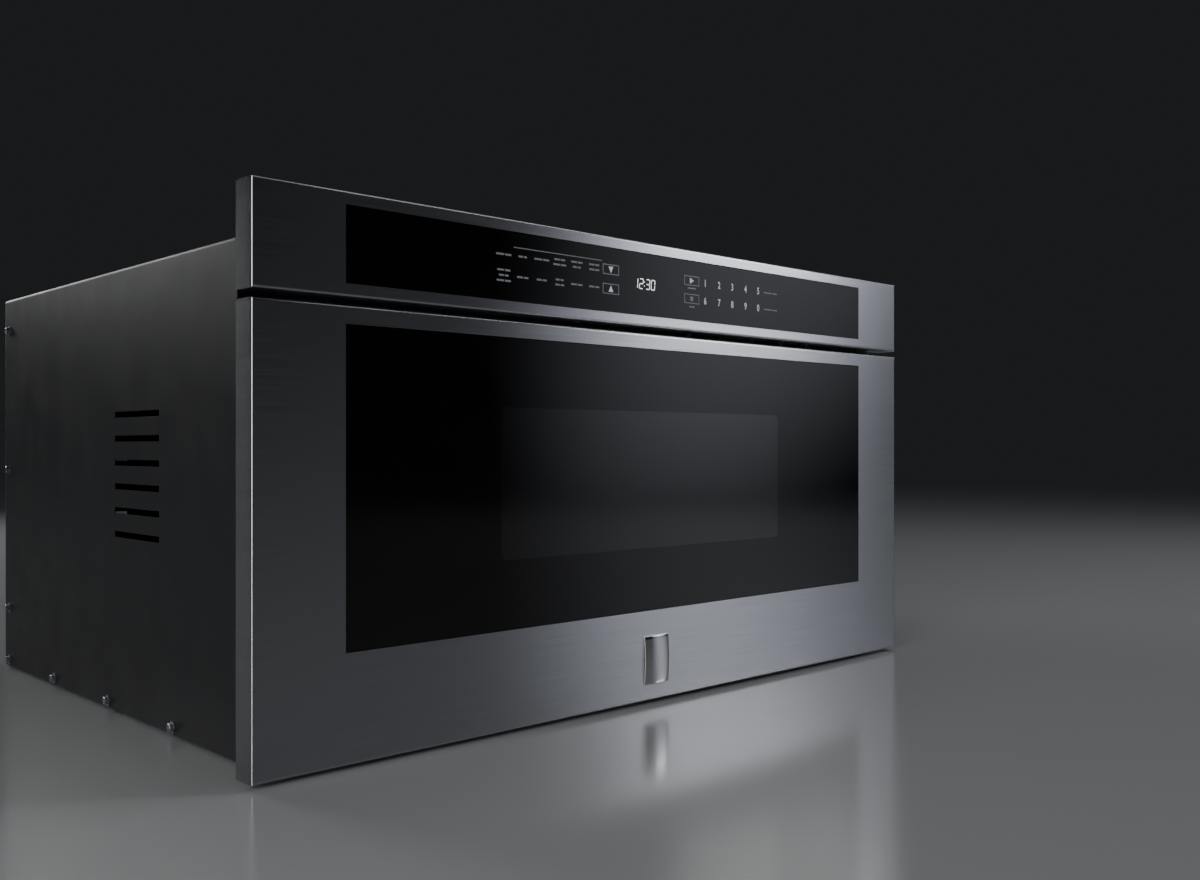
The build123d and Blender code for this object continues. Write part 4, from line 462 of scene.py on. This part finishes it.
DIGIT_COLUMNS = (65.2, 84.6, 103.3, 122.7, 141.6)
DIGIT_ROWS = ((34.8, "12345"), (18.7, "67890"))
DIGIT_SIZE, DIGIT_NARROWING = 9.0, 0.8
DIGIT_WEIGHT = 0.018  # how far each outline is moved outwards, as a share of the size
CLOCK_PLACES = (("1", -27.0), ("2", -20.4), ("3", -12.3), ("0", -5.9))  # number and left edge
COLON = ((-14.6, -13.8, 24.8, 25.7), (-14.4, -13.6, 28.2, 29.1))
SEGMENT_GAP = 0.12


def on_glass(across, up):
    """Points on the control glass from arrays of places across and up."""
    return np.stack([across * MM, np.full(len(across), PRINT_Y), PRINT_FOOT + up * MM], axis=-1)


def bars(rectangles):
    """Flat printed bars, each from its left, right, foot and top, facing the front."""
    left, right, foot, top = np.array(rectangles, float).T
    corners = [(left, foot), (right, foot), (right, top), (left, top)]
    points = np.stack([on_glass(across, up) for across, up in corners], axis=1)
    return points.reshape(-1, 3), np.arange(4 * len(left)).reshape(-1, 4)


def box_outline(left, right, foot, top):
    """The four bars of a box's outline."""
    inner_foot, inner_top = foot + BOX_LINE, top - BOX_LINE
    return [(left, right, foot, inner_foot), (left, right, inner_top, top),
            (left, left + BOX_LINE, inner_foot, inner_top), (right - BOX_LINE, right, inner_foot, inner_top)]


def label_bars():
    """Two bars for each line of the labels, a label's lines spread evenly about its row's height."""
    for height, labels in LABEL_ROWS.items():
        for middle, widths in zip(LABEL_COLUMNS, labels):
            for number, width in enumerate(widths):
                up = height + LINE_STEP * ((len(widths) - 1) / 2 - number)
                foot, top = up - LABEL_THICKNESS / 2, up + LABEL_THICKNESS / 2
                left, right = middle - width / 2, middle + width / 2
                split = left + SPLIT * width
                yield left, split - SPLIT_GAP / 2, foot, top
                yield split + SPLIT_GAP / 2, right, foot, top


def side_bars():
    """The two bars at the end of each row of numbers."""
    for up in SIDE_ROWS:
        for left, right in SIDE_BARS:
            yield left, right, up - SIDE_THICKNESS / 2, up + SIDE_THICKNESS / 2


def arrow(middle, way):
    """A solid triangle that points along way, its corners at shares of its size from its middle."""
    along = np.array(way, float)
    across = np.array([-along[1], along[0]])
    corners = np.stack([along * 0.6, across * 0.55 - along * 0.5, -across * 0.55 - along * 0.5]) * ARROW_SIZE
    return on_glass(*(corners + middle).T)


all_bars = [*label_bars(), HEADING_RULE, *side_bars(), *CAPTIONS]
for box in KEY_BOXES:
    all_bars += box_outline(*box)
all_bars.append(STOP_SQUARE)
key_marks = shell("key_marks", *bars(all_bars), "chassis", "white_plastic", closed=False)
key_marks.data.materials.append(LABEL_PRINT)

triangles = np.concatenate([arrow(middle, way) for middle, way in ARROWS])
icon_faces = np.arange(len(triangles)).reshape(-1, 3)
key_icons = shell("key_icons", triangles, icon_faces, "chassis", "white_plastic", closed=False)
key_icons.data.materials.append(KEY_PRINT)


def digit_mesh(text, size):
    """A number drawn flat in X and Y about its middle, as points and triangles."""
    curve = bpy.data.curves.new("digit", "FONT")
    curve.body = text
    curve.size = size
    curve.align_x = "CENTER"
    curve.align_y = "CENTER"
    curve.resolution_u = 3
    curve.offset = DIGIT_WEIGHT * size
    holder = bpy.data.objects.new("digit", curve)
    bpy.context.collection.objects.link(holder)
    drawn = bpy.data.meshes.new_from_object(holder.evaluated_get(bpy.context.evaluated_depsgraph_get()))
    drawn.calc_loop_triangles()
    points = np.empty(3 * len(drawn.vertices))
    drawn.vertices.foreach_get("co", points)
    corners = np.empty(3 * len(drawn.loop_triangles), int)
    drawn.loop_triangles.foreach_get("vertices", corners)
    bpy.data.objects.remove(holder)
    return points.reshape(-1, 3), corners.reshape(-1, 3)


digit_shapes = []
for row_height, row_text in DIGIT_ROWS:
    for column, text in zip(DIGIT_COLUMNS, row_text):
        flat, corners = digit_mesh(text, DIGIT_SIZE * MM)
        across, up = flat[:, 0] / MM * DIGIT_NARROWING + column, flat[:, 1] / MM + row_height
        digit_shapes.append((on_glass(across, up), corners))
key_digits = shell("key_digits", *joined(digit_shapes), "chassis", "white_plastic", closed=False)
key_digits.data.materials.append(KEY_PRINT)

# Segments of a clock number: start and end, in widths across and half heights up.
SEGMENTS = {"top": (0, 2, 1, 2), "middle": (0, 1, 1, 1), "bottom": (0, 0, 1, 0), "upper_left": (0, 1, 0, 2),
            "upper_right": (1, 1, 1, 2), "lower_left": (0, 0, 0, 1), "lower_right": (1, 0, 1, 1)}
LIT_SEGMENTS = {
    "0": ("top", "bottom", "upper_left", "upper_right", "lower_left", "lower_right"),
    "1": ("upper_right", "lower_right"),
    "2": ("top", "upper_right", "middle", "lower_left", "bottom"),
    "3": ("top", "upper_right", "middle", "lower_right", "bottom"),
}


def clock_digit(number, left, foot, width, height, stroke, slant):
    """A seven-segment number: each segment is a bar with pointed ends, leaning by slant."""
    shapes = []
    for name in LIT_SEGMENTS[number]:
        start_across, start_up, end_across, end_up = SEGMENTS[name]
        start = np.array([start_across * width, start_up * height / 2])
        end = np.array([end_across * width, end_up * height / 2])
        along = (end - start) / np.linalg.norm(end - start)
        half = np.array([-along[1], along[0]]) * stroke / 2
        tip = along * SEGMENT_GAP
        inset = tip + along * stroke / 2
        ring = np.stack([start + tip, start + inset - half, end - inset - half, end - tip, end - inset + half,
                         start + inset + half])
        points = on_glass(left + ring[:, 0] + slant * ring[:, 1], foot + ring[:, 1])
        shapes.append((points, np.array([[0, 1, 2, 3], [0, 3, 4, 5]])))
    return shapes


clock_shapes = []
for number, left in CLOCK_PLACES:
    clock_shapes += clock_digit(number, left, foot=22.7, width=4.3, height=8.4, stroke=0.74, slant=0.08)
clock_shapes.append(bars(COLON))
clock = shell("clock_digits", *joined(clock_shapes), "chassis", "display", closed=False)
clock.data.materials.append(CLOCK_LIGHT)

# ---- Fasteners ----
SCREW_RADIUS = 3.6 * MM
CASE_LEFT, CASE_FRONT = low("outer_case")[:2]
CASE_RIGHT, CASE_BACK, CASE_TOP = high("outer_case")
BACK_Y = high("back_panel")[1]

THREE_ACROSS = np.array([-300, 0, 300]) * MM
FIVE_ACROSS = np.linspace(-330, 330, 5) * MM
SIDE_HEIGHTS = np.array([60, 200, 340]) * MM
SIDE_END_INSET = 12 * MM
SIDE_FOOT_ROW = 7.5 * MM  # above the floor
BACK_HEIGHTS = np.array([70, 190, 300]) * MM
BACK_COLUMNS = np.array([-348.5, 348.5]) * MM
BACK_TOP_INSET = 8 * MM
BACK_FOOT_ROW = 8.5 * MM
TOP_FRONT_INSET, TOP_BACK_INSET = 8 * MM, 10 * MM


def washer_head(radius):
    """A hexagon washer head: a thin round flange under a six-sided head with a chamfered top, all as shares
    of the head's radius."""
    flange = np.array([(0, 0), (1.35, 0), (1.35, 0.25), (0, 0.3)]) * radius
    head = np.array([(0, 0.2), (1, 0.2), (1, 0.95), (0.8, 1.1), (0, 1.1)]) * radius
    return joined([turned(flange, 16), turned(head, 6)])


def side_places(x):
    """A side's screws: three up each end, and five along the foot."""
    along = np.linspace(CASE_FRONT + SIDE_END_INSET, CASE_BACK - SIDE_END_INSET, 5)
    up_the_ends = [(x, y, z) for y in (along[0], along[-1]) for z in SIDE_HEIGHTS]
    return up_the_ends + [(x, y, SIDE_FOOT_ROW) for y in along]


def back_places():
    """The back's screws: five along the top, three up each side, and three along the foot."""
    along_top = [(x, BACK_Y, CASE_TOP - BACK_TOP_INSET) for x in FIVE_ACROSS]
    up_the_sides = [(x, BACK_Y, z) for x in BACK_COLUMNS for z in BACK_HEIGHTS]
    return along_top + up_the_sides + [(x, BACK_Y, BACK_FOOT_ROW) for x in THREE_ACROSS]


def top_places():
    """The top's screws: a row of three near the front and one near the back."""
    rows = (CASE_FRONT + TOP_FRONT_INSET, CASE_BACK - TOP_BACK_INSET)
    return [(x, y, CASE_TOP) for x in THREE_ACROSS for y in rows]


screw = washer_head(SCREW_RADIUS)
all_screws = joined([repeated(screw, side_places(CASE_LEFT), (-1, 0, 0)),
                     repeated(screw, side_places(CASE_RIGHT), (1, 0, 0)),
                     repeated(screw, back_places(), (0, 1, 0)),
                     repeated(screw, top_places(), (0, 0, 1))])
case_screws = shell("case_screws", *all_screws, "chassis", "zinc_steel")
case_screws.data.materials.append(ZINC)


# ---- Badge and louvres ----
def crowned_plate(corner_low, corner_high, crown_x, crown_z, edge):
    """A bare plate with a crowned front: with u and v from -1 to 1 across its width and height, the front
    falls back by crown_x u^2 + crown_z v^2, and over the last part of each side by a rounded edge,
    edge (1 - sqrt(1 - s^2)), with s from 0 to 1 across that edge. Straight walls and a flat back close it."""
    half = (corner_high - corner_low) / 2
    middle = (corner_high + corner_low) / 2
    share = np.array([edge / half[0], edge / half[2]])
    flat_lines = np.linspace(-1, 1, 17)[1:-1]
    edge_lines = np.sin(np.linspace(0, 1, 6) * np.pi / 2)

    def spaced(part):
        rim = 1 - part + part * edge_lines
        return np.concatenate([-rim[::-1], flat_lines * (1 - part), rim])

    u, v = np.meshgrid(spaced(share[0]), spaced(share[1]), indexing="ij")
    past = np.stack([(np.abs(u) - 1 + share[0]) / share[0], (np.abs(v) - 1 + share[1]) / share[1]])
    rounding = edge * (1 - np.sqrt(1 - np.clip(past, 0, 1) ** 2)).max(axis=0)
    fall = crown_x * u ** 2 + crown_z * v ** 2 + rounding
    front = np.stack([middle[0] + half[0] * u, corner_low[1] + fall, middle[2] + half[2] * v], axis=-1)
    back = front.copy()
    back[..., 1] = corner_high[1]
    rows, columns = u.shape
    count = rows * columns
    face = grid_faces(rows, columns, False)
    number = np.arange(count).reshape(rows, columns)
    loop = np.concatenate([number[:-1, 0], number[-1, :-1], number[:0:-1, -1], number[0, :0:-1]])
    after = np.roll(loop, -1)
    walls = np.stack([loop, after, after + count, loop + count], axis=-1)
    points = np.concatenate([front.reshape(-1, 3), back.reshape(-1, 3)])
    return points, np.concatenate([face, face + count, walls])


badge_shape = crowned_plate(low("badge_plate"), high("badge_plate"), crown_x=1.1 * MM, crown_z=1.0 * MM,
                            edge=0.6 * MM)
badge = shell("badge_face", *badge_shape, "drawer", "polished_metal")
badge.data.materials.append(CHROME)
badge.data.polygons.foreach_set("use_smooth", [True] * len(badge.data.polygons))
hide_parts("badge_plate")


def louvre_blades(count, thickness, slope):
    """Slanted blades across the grille's slots: thin strips, each falling by slope towards the front."""
    left, front, foot = low("vent_grille") + np.array([1, 0.3, 6]) * MM
    right, back, top = high("vent_grille") - np.array([1, 0.3, 4]) * MM
    shapes = []
    for height in np.linspace(foot, top, count):
        points, faces = block((left, front, height), (right, back, height + thickness))
        points[:, 2] += (points[:, 1] - front) * slope
        shapes.append((points, faces))
    return joined(shapes)


blade_shapes = louvre_blades(count=3, thickness=0.7 * MM, slope=0.55)
blades = shell("grille_blades", *blade_shapes, "chassis", "black_plastic")
blades.data.materials.append(GREY_PLASTIC)


# ---- Stage, light and camera ----
def pale_floor(half, height, colour, roughness):
    """A smooth painted floor, a square from -half to half."""
    material = finish_of("floor_paint", colour, roughness)[0]
    mesh = bpy.data.meshes.new("floor")
    corners = [(-half, -half, height), (half, -half, height), (half, half, height), (-half, half, height)]
    mesh.from_pydata(corners, [], [(0, 1, 2, 3)])
    mesh.materials.append(material)
    floor = bpy.data.objects.new("floor", mesh)
    bpy.context.collection.objects.link(floor)


pale_floor(half=6.0, height=-0.6 * MM, colour="#C9CACB", roughness=0.16)


def dim_room(colour, strength):
    """An even dim room round the stage."""
    world = bpy.data.worlds.new("dim_room")
    bpy.context.scene.world = world
    world.use_nodes = True
    background = world.node_tree.nodes["Background"]
    background.inputs["Color"].default_value = linear(colour)
    background.inputs["Strength"].default_value = strength


COOL_WHITE = "#F0F3FF"
dim_room(COOL_WHITE, strength=0.016)


def glow_cloth(light):
    """Diffusion cloth lit from behind. Its brightness is (1 - r^2)^2 of the full light, with r going from 0
    in the middle to 1 at the rim, as the piece's own UV map gives it."""
    material = bpy.data.materials.new("lit_diffusion_cloth")
    material.use_nodes = True
    tree = material.node_tree
    tree.nodes.remove(tree.nodes["Principled BSDF"])
    place = put(tree, "ShaderNodeUVMap", uv_map="oval").outputs[0]
    square = put(tree, "ShaderNodeVectorMath", {0: place, 1: place}, operation="DOT_PRODUCT").outputs["Value"]
    left = put(tree, "ShaderNodeMath", {0: 1.0, 1: square}, operation="SUBTRACT", use_clamp=True).outputs[0]
    bell = put(tree, "ShaderNodeMath", {0: left, 1: left}, operation="MULTIPLY").outputs[0]
    strength = put(tree, "ShaderNodeMath", {0: bell, 1: light}, operation="MULTIPLY").outputs[0]
    glow = put(tree, "ShaderNodeEmission", {"Color": linear(COOL_WHITE), "Strength": strength}).outputs[0]
    tree.links.new(glow, tree.nodes["Material Output"].inputs["Surface"])
    return material


def glow_screen(aim, way, lean, high, wide, tall, away, light):
    """A tall oval screen of soft light ahead on the right that leans outwards as it rises, turned to its aim.

    way and lean are degrees, high is the middle's height and wide and tall the half sizes, as shares of its
    distance. A rim point is the middle + away (wide cos a side + tall sin a rise)."""
    turn, tip = math.radians(way), math.radians(lean)
    ahead = np.array([math.sin(turn), -math.cos(turn), 0.0])
    side = np.array([math.cos(turn) * math.cos(tip), math.sin(turn) * math.cos(tip), -math.sin(tip)])
    rise = np.array([math.cos(turn) * math.sin(tip), math.sin(turn) * math.sin(tip), math.cos(tip)])
    rim_points = 64
    angle = np.linspace(0, 2 * np.pi, rim_points, endpoint=False)
    rim = np.stack([np.cos(angle), np.sin(angle)], axis=-1)
    middle = np.array(aim) + away * (ahead * math.sqrt(1 - high * high) + rise * high)
    points = middle + away * (rim[:, :1] * wide * side + rim[:, 1:] * tall * rise)
    mesh = bpy.data.meshes.new("glow_screen")
    mesh.from_pydata(points.tolist(), [], [list(range(rim_points))])
    mesh.uv_layers.new(name="oval").data.foreach_set("uv", rim.ravel())
    mesh.materials.append(glow_cloth(light))
    screen = bpy.data.objects.new("glow_screen", mesh)
    bpy.context.collection.objects.link(screen)
    screen.visible_camera = False


glow_screen(aim=(0.0, -0.28, 0.2), way=46.6, lean=21.0, high=0.29, wide=0.25, tall=0.5, away=5.0, light=1.2)


def softbox(name, place, aim, along, size, power):
    """A rectangular light of so many watts, turned to its aim, its first side near the direction along."""
    data = bpy.data.lights.new(name, "AREA")
    data.shape = "RECTANGLE"
    data.size, data.size_y = size
    data.energy = power
    lamp = bpy.data.objects.new(name, data)
    bpy.context.collection.objects.link(lamp)
    back = Vector(place) - Vector(aim)
    back.normalize()
    first = Vector(along) - back * back.dot(Vector(along))
    first.normalize()
    turn = Matrix((first, back.cross(first), back)).transposed()
    lamp.matrix_world = Matrix.Translation(place) @ turn.to_4x4()
    lamp.visible_camera = False


LEVEL, UPRIGHT = (1.0, 0.0, 0.0), (0.0, 0.0, 1.0)
SOFTBOXES = (  # name, place, aim, direction of the first side, its two sides in metres, and watts
    ("right_box", (2.3, -1.9, 1.5), (0.0, -0.3, 0.2), (0.3, 0.0, 1.0), (1.0, 0.6), 14),
    ("left_box", (-2.25, -1.13, 0.66), (-0.38, -0.3, 0.2), UPRIGHT, (1.3, 0.95), 16),
    ("upper_strip", (1.7, -0.63, 2.15), (0.0, -0.3, 0.32), (1.02, 0.29, -0.9), (1.9, 0.35), 4.5),
    ("top_box", (0.7, 0.2, 2.3), (0.2, 0.0, 0.2), LEVEL, (1.8, 1.0), 4),
    ("back_box", (-0.6, 2.6, 1.2), (0.0, 0.3, 0.2), LEVEL, (1.2, 0.8), 16),
)
for light in SOFTBOXES:
    softbox(*light)

# The camera was fitted to the corners of the face in the photograph, and looks level.
CAMERA_PLACE = (-0.7346, -0.9966, 0.2243)
CAMERA_WAY = (0.689, 0.725)  # how far it looks along X and Y
PHOTO_WIDTH = 1200
HORIZON_SHIFT = 5.4 / PHOTO_WIDTH  # in widths of the picture
camera_data = bpy.data.cameras.new("camera")
camera_data.lens = 34.9  # millimetres, as the sensor's width is
camera_data.sensor_width = 36
camera_data.shift_y = HORIZON_SHIFT
camera = bpy.data.objects.new("camera", camera_data)
bpy.context.collection.objects.link(camera)
camera.location = CAMERA_PLACE
camera.rotation_euler = (math.pi / 2, 0, -math.atan2(*CAMERA_WAY))
bpy.context.scene.camera = camera
